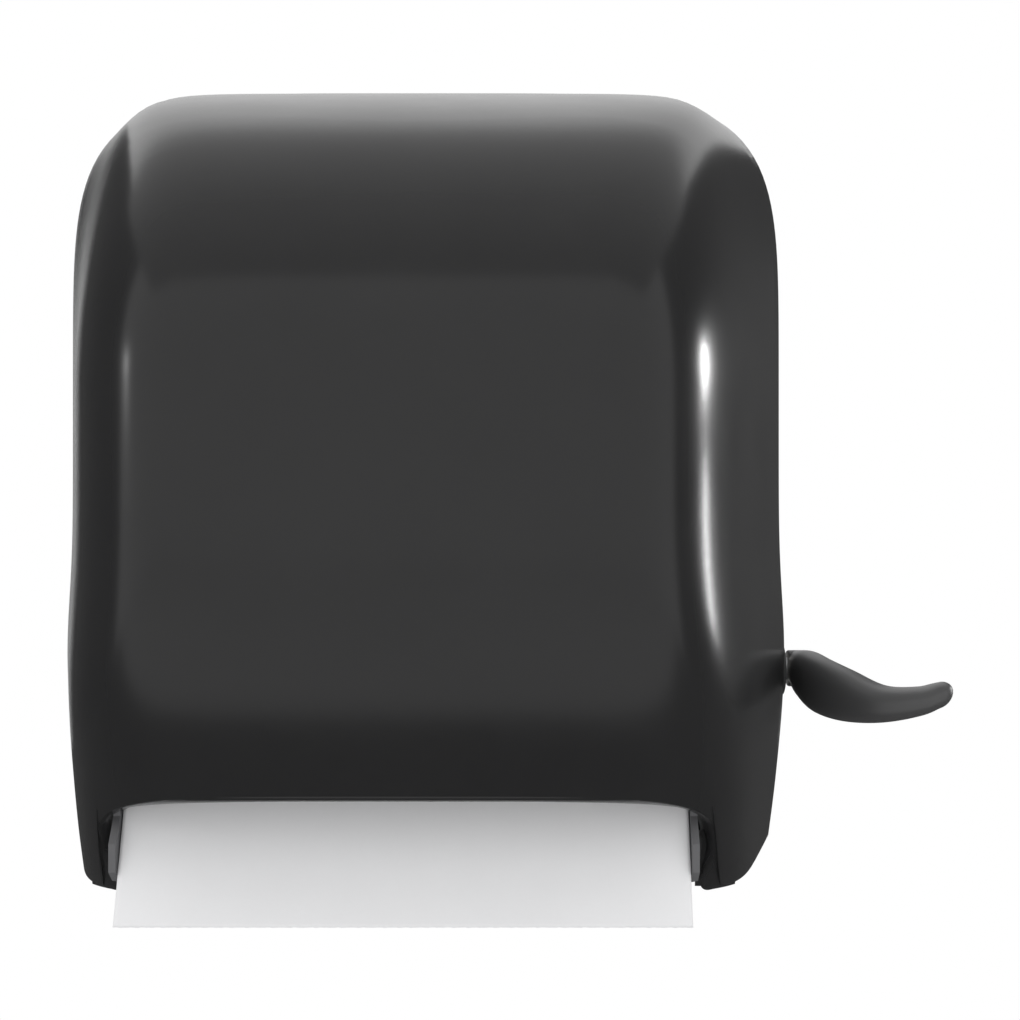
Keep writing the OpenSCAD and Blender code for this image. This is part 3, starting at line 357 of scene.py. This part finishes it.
# %% The cover's formula
def super_point(angle, power):
    """The point of |a|^p + |b|^p = 1 that lies in a direction, in degrees."""
    c, s = np.cos(np.radians(angle)), np.sin(np.radians(angle))
    r = (np.abs(c) ** power + np.abs(s) ** power) ** (-1 / power)
    return c * r, s * r


def half_w(z):
    """Half the width at the seam: straight, plus a soft bulge, less the tuck near the bottom."""
    low = np.clip((TUCK_Z - z) / (TUCK_Z - BOTTOM_Z), 0, 1)
    return BODY_W / 2 + BULGE * np.exp(-((z - BULGE_Z) / BULGE_REACH) ** 2) - TUCK * low ** 2


def front_d(z):
    """Depth of the middle of the front: flat above, falling back to the heel below."""
    low = np.clip((FRONT_FLAT_Z - z) / (FRONT_FLAT_Z - BOTTOM_Z + 0.5), 0, 1)
    return HEEL_D + (BODY_D - HEEL_D) * (1 - low ** FALL_POWER) ** FALL_BEND


def seam_d(z):
    """Depth of the rear edge: the seam, and below the hinge the circle that the corner swings
    on."""
    reach = np.sqrt((SWING_R + 1 - SEAM_GAP) ** 2 - np.minimum(z - HINGE_Z, 0) ** 2)
    return np.where(z > HINGE_Z, TRAY_D + SEAM_GAP, HINGE_D - reach)


def arch_z(x):
    """Height of the skin's lower edge: a superellipse arch between the two lobes, a quarter circle
    that rounds the inner corner of each lobe, and the rim's drop added to both."""
    inside = np.clip(np.abs(x) / ARCH_HALF, 0, 1)
    arch = LOBE_R + (ARCH_H - LOBE_R) * (1 - inside ** ARCH_POWER) ** (1 / ARCH_POWER)
    beyond = np.clip((np.abs(x) - ARCH_HALF) / LOBE_R, 0, 1)
    lobe = LOBE_R * (1 - np.sqrt(1 - (1 - beyond) ** 2))
    return BOTTOM_Z + EDGE_DROP + np.where(np.abs(x) < ARCH_HALF, arch, lobe)


def low_point(phi, side, z, inset):
    """A point of the skin below the shoulder, from its angle in the level section and its
    height."""
    u = np.clip((SHOULDER_Z - z) / (SHOULDER_Z - BOTTOM_Z), 0, 1) ** 4
    a, b = super_point(phi, EDGE_POWER + (EDGE_POWER_LOW - EDGE_POWER) * u)
    flare = (SIDE_SLOPE + (SIDE_SLOPE_LOW - SIDE_SLOPE) * u) * (front_d(z) - seam_d(z))
    x = side * a * (half_w(z) - flare * b - inset)
    y = -(seam_d(z) + b * (front_d(z) - inset - seam_d(z)))
    return np.stack(np.broadcast_arrays(x, y, z), axis=-1)


def halve(low, high, too_low, steps=30):
    """Finds where a test changes, for a whole array at once, by halving the interval."""
    low, high = np.array(low, float), np.array(high, float)
    for _ in range(steps):
        middle = (low + high) / 2
        under = too_low(middle)
        low, high = np.where(under, middle, low), np.where(under, high, middle)
    return (low + high) / 2


def high_point(phi, turn, inset):
    """A point of the skin above the shoulder. Its place in the front view comes from two angles,
    and its depth from the level section there: (x / w)^p + share^p = 1."""
    soften = np.sin(np.radians(turn)) ** 2
    a, b = super_point(phi, EDGE_POWER + (EDGE_POWER_TOP - EDGE_POWER) * soften)
    ox, oz = super_point(turn, OUTLINE_POWER)
    x = a * (half_w(SHOULDER_Z) - SIDE_FLARE * b - inset) * ox
    z = SHOULDER_Z + a * (TOP_H - TOP_FLARE * b - inset) * oz

    def above(angle):
        ta, tb = super_point(angle, EDGE_POWER_TOP)
        return SHOULDER_Z + ta * (TOP_H - TOP_FLARE * tb - inset) > z
    top = super_point(halve(np.zeros_like(z), np.full_like(z, 90.0), above), EDGE_POWER_TOP)[1]
    rise = np.clip((z - SHOULDER_Z) / (TOP_H - inset), 0, 1)
    width = (half_w(SHOULDER_Z) - inset) * (1 - rise ** OUTLINE_POWER) ** (1 / OUTLINE_POWER)
    flare = SIDE_FLARE * (1 + CORNER_FLARE * ((z - SHOULDER_Z) / TOP_H) ** 2) * top

    def inner(share):
        room = np.maximum(width - flare * share, 1e-9)
        return (np.abs(x) / room) ** EDGE_POWER + share ** EDGE_POWER < 1
    share = np.where(phi == 0, 0, halve(np.zeros_like(z), np.ones_like(z), inner))
    y = -(seam_d(z) + share * top * (front_d(z) - inset - seam_d(z)))
    return np.stack([x, y, z], axis=-1)


# %% [markdown]
# The grid has columns that run from the seam to the centre line and on to the other seam. Below
# the shoulder its rows are level down to the top of the arch, so that no quad is sheared there, and
# from there each column is shared out down to its own end. Above the shoulder the columns bend
# round the top like the spokes of a fan, and all of them meet in one point on the centre line.

# %% The cover's grid
# The columns stand closest between 39 and 54 degrees, where the level section turns its corner.
PHI = np.concatenate([np.linspace(0, 30, 8, endpoint=False), np.linspace(30, 39, 8, endpoint=False),
                      np.linspace(39, 54, 42, endpoint=False), np.linspace(54, 90, 18)])
ROWS, LEVEL_ROWS, TURNS = 84, 56, 128
ARCH_TOP = BOTTOM_Z + ARCH_H + 3.5    # just above the arch, where the level rows end
SPOKES = len(PHI) - 1
COLUMNS = 2 * SPOKES + 1
PHIS = np.concatenate([PHI, PHI[-2::-1]])
SIDES = np.where(np.arange(COLUMNS) <= SPOKES, 1.0, -1.0)
print("lower grid:", ROWS + 1, "rows of", COLUMNS, "and a fan of", TURNS + 1, "by", SPOKES + 1)


def cover_skin(inset):
    """All the points of one skin: first the lower grid, then the fan above the shoulder."""
    def below(z):
        x = low_point(PHIS, SIDES, z, inset)[:, 0]
        return z < arch_z(x)
    ends = halve(np.full(COLUMNS, BOTTOM_Z), np.full(COLUMNS, SHOULDER_Z), below)
    level = np.linspace(SHOULDER_Z, ARCH_TOP, LEVEL_ROWS, endpoint=False)
    level = level[:, None] * np.ones(COLUMNS)
    share = np.linspace(0, 1, ROWS - LEVEL_ROWS + 1)[:, None]
    rows = np.concatenate([level, ARCH_TOP + (ends[None, :] - ARCH_TOP) * share])
    low = low_point(PHIS[None, :], SIDES[None, :], rows, inset)
    turn, phi = np.meshgrid(np.linspace(0, 180, TURNS + 1)[1:-1], PHI[:-1], indexing="ij")
    high = high_point(phi, turn, inset)
    return np.concatenate([low.reshape(-1, 3), high.reshape(-1, 3)])


def cover_numbers():
    """The point numbers of the lower grid and of the fan, whose edges share the shoulder row."""
    low = np.arange((ROWS + 1) * COLUMNS).reshape(ROWS + 1, COLUMNS)
    fan = np.empty((TURNS + 1, SPOKES + 1), int)
    fan[1:-1, :-1] = low.size + np.arange((TURNS - 1) * SPOKES).reshape(TURNS - 1, SPOKES)
    fan[0, :-1] = low[0, :SPOKES]
    fan[-1, :-1] = low[0, :SPOKES:-1]
    fan[:, -1] = low[0, SPOKES]
    return low, fan


def quads_of(numbers):
    """The faces between neighbouring rows and columns of a table of point numbers."""
    return np.stack([numbers[:-1, :-1], numbers[1:, :-1], numbers[1:, 1:], numbers[:-1, 1:]],
                    axis=-1).reshape(-1, 4)


def fan_quads(numbers):
    """The same for the fan, whose rows run round the turns."""
    return np.stack([numbers[:-1, :-1], numbers[:-1, 1:], numbers[1:, 1:], numbers[1:, :-1]],
                    axis=-1).reshape(-1, 4)


def clean(face):
    """A face without the corners that it has twice."""
    kept = []
    for corner in face:
        if corner not in kept:
            kept.append(corner)
    return kept


# %% Build the cover
def build_cover(roll_steps=5, seam_rise=0.35):
    """Outer skin, inner skin, and between their edges a rolled rim: each rim point goes from the
    outer to the inner edge on a half ellipse that stands out past both, less at the seam."""
    outer, inner = cover_skin(0.0), cover_skin(WALL)
    low, fan = cover_numbers()
    count = len(outer)
    edge = np.concatenate([low[-1, :], low[-2:0:-1, -1], fan[::-1, 0], low[1:-1, 0]])
    inward = np.concatenate([low[-2, :], low[-2:0:-1, -2], fan[::-1, 1], low[1:-1, 1]])
    a, b = outer[edge], inner[edge]
    out = a - outer[inward]
    out /= np.linalg.norm(out, axis=1, keepdims=True)
    middle, half = (a + b) / 2, (a - b) / 2
    rise = np.where(np.abs(a[:, 1:2] + seam_d(a[:, 2:3])) < 0.01, seam_rise, EDGE_DROP)
    angles = np.linspace(0, np.pi, roll_steps + 2)[1:-1]
    rim = np.concatenate([middle + half * np.cos(t) + out * rise * np.sin(t) for t in angles])
    first = 2 * count
    rings = [edge] + [first + k * len(edge) + np.arange(len(edge)) for k in range(roll_steps)]
    rings.append(edge + count)
    table = np.array(rings)
    table = np.concatenate([table, table[:, :1]], axis=1)
    body = np.concatenate([quads_of(low), fan_quads(fan)])
    faces = [clean(f[::-1]) for f in body.tolist()]
    faces += [clean(f) for f in (body + count).tolist()]
    faces += quads_of(table)[:, ::-1].tolist()
    return make_piece("cover_skin", np.concatenate([outer, inner, rim]), faces)


finish_piece(build_cover(), "cover", "black_shell", shell_plastic, "front_cover")

# %% [markdown]
# Behind the arch's edge the moulding turns back in a flange. It is shallow over the towel and
# broad down the inside of each lobe, which it makes round. It is a loft along the edge: at each
# point of the edge stands a thin closed outline that bends back and returns.

# %% Build the flange
FLANGE_HALF = 109.6    # half the width of the opening that the flange leaves
PIN_RADIUS = 4.5       # the flange stops this far short of the hinge pins' middle


def ease(x, start, stop):
    """A smooth step from 0 to 1: 3 t^2 - 2 t^3."""
    t = np.clip((x - start) / (stop - start), 0, 1)
    return t * t * (3 - 2 * t)


def even_path(points, count):
    """Points at even steps along a broken line."""
    length = np.concatenate([[0], np.cumsum(np.linalg.norm(np.diff(points, axis=0), axis=1))])
    even = np.linspace(0, length[-1], count)
    return np.stack([np.interp(even, length, points[:, k]) for k in range(points.shape[1])], axis=1)


def opening_path(half, height, base, end):
    """The flange's free edge in the front view: level under one lobe, a quarter circle, an arch of
    a given half width and height, and the same again on the other side."""
    c, s = super_point(np.linspace(0, 90, 400), ARCH_POWER)
    turn = np.radians(np.linspace(90, 0, 24))[:-1]
    x = np.concatenate([[end], half + LOBE_R * (1 - np.cos(turn)), half * c])
    z = base + np.concatenate([[0.0], LOBE_R * (1 - np.sin(turn)), LOBE_R + (height - LOBE_R) * s])
    return np.stack([np.concatenate([x, -x[-2::-1]]), np.concatenate([z, z[-2::-1]])], axis=1)


def build_flange(count=420, steps=7, thick=1.5):
    """Between the skin's edge and the free edge the outline bends back through a quarter ellipse,
    by 4 mm over the towel and up to 13 mm at the lobes but short of the hinge pins, and returns
    a thickness inside it."""
    low, _ = cover_numbers()
    edge = cover_skin(0.0)[low[-1, :]]
    edge = even_path(edge[np.abs(edge[:, 0]) < ARCH_HALF + 12], count)
    free = even_path(opening_path(FLANGE_HALF, ARCH_H - 1.2, BOTTOM_Z + 0.1, edge[0, 0]), count)
    across = np.stack([free[:, 0] - edge[:, 0], np.zeros(count), free[:, 1] - edge[:, 2]], axis=1)
    width = np.abs(edge[:, 0])
    room = np.maximum(-edge[:, 1] - HINGE_D - PIN_RADIUS, 2.0)
    run = np.minimum(4 + 9 * ease(width, 97, 108), room)
    run *= 1 - 0.6 * ease(width, ARCH_HALF + 3, ARCH_HALF + 10)
    angle = np.linspace(0, np.pi / 2, steps)
    back = np.array([0, 1.0, 0])
    front = (edge[:, None] + across[:, None] * np.sin(angle)[None, :, None]
             + back * (run[:, None] * (1 - np.cos(angle)))[:, :, None])
    less = np.clip(1 - thick / np.linalg.norm(across, axis=1), 0.15, 1)
    rear = (edge[:, None] + across[:, None] * (less[:, None] * np.sin(angle))[:, :, None]
            + back * (thick + (run[:, None] - thick) * (1 - np.cos(angle)))[:, :, None])
    rings = np.concatenate([front, rear[:, ::-1]], axis=1)
    return make_piece("cover_flange", rings.reshape(-1, 3), loft_faces(count, rings.shape[1]))


flange = finish_piece(build_flange(), "cover", "black_shell", shell_plastic)
sharpen(flange, 60)

# %% [markdown]
# ## The lever
# The lever leaves its hub low on the right side, runs forward along the cover, and swings outward
# into a flat paddle that a forearm can push. It is a loft: eight stations give its path, half width
# and half height, a Catmull-Rom curve passes through them, and each ring is a rounded square that
# stands square to the path in plan. The tip is closed by rings that shrink like a quarter circle.

# %% The lever's measures, in millimetres
# A station is x, depth, z, half width and half height. A point of the hub is x and radius.
STATIONS = np.array([
    [168, 17, -94, 5, 7.5], [169, 26, -94.2, 6.5, 9], [170, 38, -95.5, 8, 11],
    [173, 52, -98.2, 9, 12], [181, 64, -100.8, 11, 10.8], [193, 73, -103, 13, 7.6],
    [206, 78, -101.4, 12, 6.0], [214.5, 79.5, -98.6, 9, 5.2]], float)
TIP_LENGTH, BLADE_POWER = 6.0, 2.4
LEVER_AXIS = (-20.0, -94.0)
HUB = np.array([
    [163.5, 5.0], [163.5, 7.4], [163.74, 7.96], [164.3, 8.2], [171.7, 8.2], [172.26, 7.96],
    [172.5, 7.4], [172.5, 4.6], [171.6, 4.6], [171.6, 0.05]], float)
print("lever:", len(STATIONS), "stations, hub of", len(HUB), "points")



# %% Lofts and turned shapes
def curve_through(stations, steps):
    """Catmull-Rom: each span is the cubic through its two stations, whose slopes come from the
    stations on either side."""
    before, after = 2 * stations[0] - stations[1], 2 * stations[-1] - stations[-2]
    p = np.concatenate([[before], stations, [after]])
    t = np.linspace(0, len(stations) - 1, (len(stations) - 1) * steps + 1)
    i = np.minimum(t.astype(int), len(stations) - 2)
    u = (t - i)[:, None]
    a, b, c, d = p[i], p[i + 1], p[i + 2], p[i + 3]
    return 0.5 * (2 * b + (c - a) * u + (2 * a - 5 * b + 4 * c - d) * u ** 2
                  + (3 * b - a - 3 * c + d) * u ** 3)


def loft(centres, across, wide, high, sides, power):
    """Rings of a rounded square: half a width to each side along 'across', half a height up."""
    ca, sa = super_point(np.linspace(0, 360, sides, endpoint=False), power)
    flat = np.concatenate([across, np.zeros((len(across), 1))], axis=1)
    rings = (centres[:, None, :] + flat[:, None, :] * (wide[:, None] * ca[None, :])[:, :, None]
             + np.array([0, 0, 1.0]) * (high[:, None] * sa[None, :])[:, :, None])
    return rings.reshape(-1, 3)


def lathe(profile, axis_y, axis_z, sides=72, first=0):
    """Turns a profile of x and radius round a line along X. Returns points and faces."""
    angle = np.linspace(0, 2 * np.pi, sides, endpoint=False)
    x, radius = profile[:, :1], profile[:, 1:]
    y, z = axis_y + radius * np.cos(angle), axis_z + radius * np.sin(angle)
    points = np.stack(np.broadcast_arrays(x, y, z), axis=-1).reshape(-1, 3)
    return points, loft_faces(len(profile), sides, first, flip=True)


# %% Build the lever
def build_lever(steps=14, sides=64):
    """The blade, with its rounded tip, and the hub with a recess for its screw."""
    path = curve_through(STATIONS, steps)
    centres = np.stack([path[:, 0], -path[:, 1], path[:, 2]], axis=1)
    run = np.gradient(path[:, :2], axis=0)
    across = np.stack([run[:, 1], run[:, 0]], axis=1) / np.linalg.norm(run, axis=1, keepdims=True)
    t = np.linspace(0, np.pi / 2, 8)[1:]
    forward = (centres[-1] - centres[-2]) / np.linalg.norm(centres[-1] - centres[-2])
    centres = np.concatenate([centres, centres[-1] + forward * (TIP_LENGTH * np.sin(t))[:, None]])
    across = np.concatenate([across, np.repeat(across[-1:], len(t), axis=0)])
    shrink = np.maximum(np.cos(t), 0.02)
    wide = np.concatenate([path[:, 3], path[-1, 3] * shrink])
    high = np.concatenate([path[:, 4], path[-1, 4] * shrink])
    blade = loft(centres, across, wide, high, sides, BLADE_POWER)
    faces = loft_faces(len(centres), sides, flip=True)
    hub, hub_faces = lathe(HUB, *LEVER_AXIS, first=len(blade))
    return make_piece("lever_blade", np.concatenate([blade, hub]), faces + hub_faces)


lever = finish_piece(build_lever(), "lever", "black_shell", lever_plastic, "lever_handle")
sharpen(lever, 50)

# %% [markdown]
# ## The springs
# A spring is a tube along a helix. The tube's rings stand square to it, and both ends are closed.
# The lever's spring lies round its shaft, with one leg back into the tray. Two small ones press the
# pinch rollers against the drive roller.

# %% Wire and coils
def helix(x0, y0, z0, radius, turns, pitch, start, per_turn=40):
    """Points of a coil along X: x grows evenly while the radius turns."""
    turn = np.linspace(0, turns, int(turns * per_turn) + 1)
    a = np.radians(start) + 2 * np.pi * turn
    return np.stack([x0 + pitch * turn, y0 - radius * np.cos(a), z0 + radius * np.sin(a)], axis=1)


def wire(path, radius, first=0, sides=14):
    """A round tube along a path. Each ring lies in the plane square to the path: its two
    directions are the path's direction crossed with a fixed line, and crossed again."""
    run = np.gradient(path, axis=0)
    run /= np.linalg.norm(run, axis=1, keepdims=True)
    guide = np.where(np.abs(run[:, :1]) > 0.8, np.array([[0, 0, 1.0]]), np.array([[1.0, 0, 0]]))
    one = np.cross(run, guide)
    one /= np.linalg.norm(one, axis=1, keepdims=True)
    two = np.cross(run, one)
    a = np.linspace(0, 2 * np.pi, sides, endpoint=False)[:, None]
    rings = path[:, None] + radius * (np.cos(a) * one[:, None] + np.sin(a) * two[:, None])
    return rings.reshape(-1, 3), loft_faces(len(path), sides, first, flip=True)


# %% The lever's spring
coil = helix(120, -20, -94, 9, 8, 2.1, 90)
first_leg = [[120, -3, -84.8], [120, -7.5, -84.9], [120, -12, -85.0], [120, -16, -85.0]]
last_leg = [[137.4, -18.5, -86.2], [137.7, -19.5, -88.7]]
points, faces = wire(np.concatenate([first_leg, coil, last_leg]), 0.8)
finish_piece(make_piece("lever_spring_wire", points, faces), "frame", "steel", spring_steel,
             "return_spring")

# %% The pressure frame's springs, a mirrored pair
small = np.concatenate([[[88.6, -171.4, -83.2]], helix(88.6, -168, -80, 3.7, 4, 1.7, 0),
                        [[95.4, -171.5, -76], [95.4, -170.7, -71]]])
right, right_faces = wire(small, 0.5, sides=10)
left, left_faces = wire(small[::-1] * [-1, 1, 1], 0.5, first=len(right), sides=10)
pair = make_piece("pressure_spring_wires", np.concatenate([right, left]), right_faces + left_faces)
finish_piece(pair, "pressure_frame", "steel", spring_steel, "pressure_springs")

# %% [markdown]
# ## The towel's tail
# The end of the towel hangs from the nip of the two rollers down to the arch. It is a thin sheet
# with a slight roll in it from its years on the core, and its lower end was torn on the tear bar,
# so that edge is finely ragged.

# %% Build the tail
NIP = (145.28, -101.35)      # depth and height of the line where the two rollers meet
TAIL_Z = -168.0              # height of the torn edge
TILT = math.radians(20)      # how far the tail leans forward
HALF_TOWEL = 101.5


def build_tail(across=160, down=60, thick=0.3):
    """A grid from the nip to the torn edge, and its twin 0.3 mm behind it."""
    length = (NIP[1] - TAIL_Z) / math.cos(TILT)
    u, v = np.meshgrid(np.linspace(-1, 1, across + 1), np.linspace(0, 1, down + 1))
    ragged = 0.12 * np.sin(u * 330) * np.sin(u * 41 + 1.3) * v ** 8
    wave = 0.12 * np.sin(u * 5.1 + 0.6) * v ** 2 - 0.1 * np.sin(v * 3.1)
    run = v * length + ragged
    x = u * HALF_TOWEL
    d = NIP[0] + run * math.sin(TILT) + wave * math.cos(TILT)
    z = NIP[1] - run * math.cos(TILT) + wave * math.sin(TILT)
    face = np.stack([x, -d, z], axis=-1).reshape(-1, 3)
    back = face + np.array([0, thick * math.cos(TILT), -thick * math.sin(TILT)])
    face[:, 1] -= thick / 2 * math.cos(TILT)
    back[:, 1] -= thick / 2 * math.cos(TILT)
    number = np.arange(len(face)).reshape(down + 1, across + 1)
    edge = np.concatenate([number[0, :], number[1:, -1], number[-1, -2::-1], number[-2:0:-1, 0]])
    ring = np.concatenate([edge, edge[:1]])
    rim = np.stack([ring[:-1], ring[:-1] + len(face), ring[1:] + len(face), ring[1:]], axis=-1)
    faces = [quads_of(number), quads_of(number)[:, ::-1] + len(face), rim[:, ::-1]]
    faces = np.concatenate(faces).tolist()
    return make_piece("towel_tail", np.concatenate([face, back]), faces), length


tail, tail_length = build_tail()
finish_piece(tail, "frame", "paper", towel_paper, "paper_tail")

# %% [markdown]
# ## Materials on the carried-over parts
# Each remaining part keeps its CAD mesh and takes the finish that its kind has in a real
# dispenser: acetal gears and bushes, bright shafts, plated screws, and dark mouldings.

# %% Dress the CAD parts
BY_SLOT = {"black_shell": shell_plastic, "black_plastic": tray_plastic,
           "grey_plastic": frame_plastic, "natural_plastic": acetal, "steel": shaft_steel,
           "rubber": sleeve_rubber, "paper": towel_paper, "card": core_board}
BY_NODE = {"frame_screws": zinc, "tear_bar_screws": zinc, "lever_screw": zinc, "lock_barrel": zinc,
           "lock_nut": zinc, "lock_plug": zinc, "lock_cam": sheet_steel, "tear_bar": sheet_steel,
           "paper_roll": roll_paper}
replaced = {"front_cover", "lever_handle", "return_spring", "pressure_springs", "paper_tail"}
slot_of = {entry["node"]: entry["material_slot"] for entry in frame["record"]["subparts"]}
for name, part in frame["nodes"].items():
    if name in replaced:
        continue
    material = BY_NODE.get(name, BY_SLOT.get(slot_of.get(name), frame_plastic))
    if part.data.materials:
        for k in range(len(part.data.materials)):
            part.data.materials[k] = material
    else:
        part.data.materials.append(material)
print("dressed:", len(frame["nodes"]) - len(replaced), "parts; without a slot:",
      [n for n in frame["nodes"] if n not in slot_of])

# %% [markdown]
# ## Stage and light
# The studio is plain: a pale floor far below, a broad soft lamp overhead, two small lamps behind to
# the right whose reflections draw the bright marks down the cover's corner, and a small one to the
# left. Black plastic is mostly what it mirrors. The world is white to the camera and in
# reflections, so the rounded edges turn pale, and grey cards beside, over and under the object keep
# its sides dark, as photographers do with black products. The cards show in reflections alone.

# %% Floor
def lying(half_width, z, front, back):
    """The four corners of a level rectangle, in metres."""
    return [(-half_width, front, z), (half_width, front, z), (half_width, back, z),
            (-half_width, back, z)]


def stage_sheet(name, corners, paint):
    """A flat stage object of four corners, which isn't a part of the dispenser."""
    mesh = bpy.data.meshes.new(name)
    mesh.from_pydata(corners, [], [(0, 1, 2, 3)])
    mesh.materials.append(paint)
    sheet = bpy.data.objects.new(name, mesh)
    bpy.context.scene.collection.objects.link(sheet)
    return sheet


floor_paint = moulded("floor_paint", (0.80, 0.80, 0.80), (0.84, 0.84, 0.84), 0.8, bump=0.0)
floor = stage_sheet("floor", lying(2, -0.6, -2.2, 0.7), floor_paint)
print("stage:", floor.name)


# %% Lamps
def lamp(name, place, aim, size, power):
    """A soft area lamp at a place in metres, turned to face a point. Its size is a width and a
    height in metres and its power is in watts."""
    light = bpy.data.lights.new(name, "AREA")
    light.shape = "RECTANGLE"
    light.size, light.size_y = size
    light.energy = power
    holder = bpy.data.objects.new(name, light)
    holder.location = place
    way = np.array(aim, float) - np.array(place, float)
    yaw = math.atan2(way[1], way[0])
    pitch = math.atan2(-way[2], math.hypot(way[0], way[1]))
    holder.rotation_euler = (math.pi / 2 - pitch, 0, yaw - math.pi / 2)
    bpy.context.scene.collection.objects.link(holder)


lamp("overhead", (0.0, -0.2, 1.5), (0, -0.1, 0), (2.4, 1.6), 12)
lamp("right_high", (1.2, 0.62, 0.2), (0.1, -0.15, 0), (0.09, 0.12), 2.2)
lamp("right_low", (1.2, 0.62, -0.07), (0.1, -0.15, 0), (0.09, 0.22), 1.3)
lamp("left_high", (-1.5, -0.5, 0.22), (0, -0.1, 0), (0.12, 0.12), 0.8)


# %% Grey cards
def studio_card(name, corners, tone):
    """A card of four corners in metres, of an even grey that shows only in reflections."""
    paint = moulded(name, (0.01, 0.01, 0.01), (0.012, 0.012, 0.012), 0.9, bump=0.0)
    shader = paint.node_tree.nodes["Principled BSDF"]
    shader.inputs["Emission Color"].default_value = (tone, tone, tone, 1)
    shader.inputs["Emission Strength"].default_value = 1.0
    card = stage_sheet(name, corners, paint)
    card.visible_camera = card.visible_diffuse = card.visible_shadow = False
    print(name, "of tone", tone)


def upright(x, back):
    """The four corners of a card that stands beside the object and ends at a depth behind it."""
    return [(x, -0.3, -1.2), (x, back, -1.2), (x, back, 1.6), (x, -0.3, 1.6)]


CARD_X = 1.6
studio_card("card_right", upright(CARD_X, 4.6), 0.03)
studio_card("card_left", upright(-CARD_X, 3.3), 0.03)
studio_card("card_top", lying(CARD_X, 1.4, -1.2, 1.1), 0.38)
studio_card("card_low", lying(CARD_X, -0.58, -0.5, 2.5), 0.03)


# %% World
def build_world():
    """White to the camera, in reflections and through clear parts. As light on dull surfaces it is
    a grey that grows with the height looked at."""
    world = bpy.data.worlds.new("studio")
    world.use_nodes = True
    tree = world.node_tree
    tree.nodes.clear()
    out = add(tree, "ShaderNodeOutputWorld")
    white = add(tree, "ShaderNodeBackground", Color=(1, 1, 1, 1), Strength=1.0)
    room = add(tree, "ShaderNodeBackground", Strength=1.0)
    blend = add(tree, "ShaderNodeMixShader")
    rays = add(tree, "ShaderNodeLightPath")
    seen = add(tree, "ShaderNodeMath", operation="MAXIMUM")
    mirrored = add(tree, "ShaderNodeMath", operation="MAXIMUM")
    place = add(tree, "ShaderNodeTexCoord")
    split = add(tree, "ShaderNodeSeparateXYZ")
    rise = add(tree, "ShaderNodeMapRange")
    rise.inputs["From Min"].default_value = -0.7
    rise.inputs["From Max"].default_value = 0.6
    rise.inputs["To Min"].default_value = 0.4
    rise.inputs["To Max"].default_value = 1.0
    link = tree.links.new
    link(place.outputs["Generated"], split.inputs["Vector"])
    link(split.outputs["Z"], rise.inputs["Value"])
    link(rise.outputs["Result"], room.inputs["Color"])
    link(rays.outputs["Is Glossy Ray"], mirrored.inputs[0])
    link(rays.outputs["Is Transmission Ray"], mirrored.inputs[1])
    link(rays.outputs["Is Camera Ray"], seen.inputs[0])
    link(mirrored.outputs[0], seen.inputs[1])
    link(seen.outputs[0], blend.inputs["Fac"])
    link(room.outputs["Background"], blend.inputs[1])
    link(white.outputs["Background"], blend.inputs[2])
    link(blend.outputs["Shader"], out.inputs["Surface"])
    bpy.context.scene.world = world


build_world()
bpy.context.scene.view_settings.view_transform = "Standard"
print("world:", bpy.context.scene.world.name)

# %% Finish
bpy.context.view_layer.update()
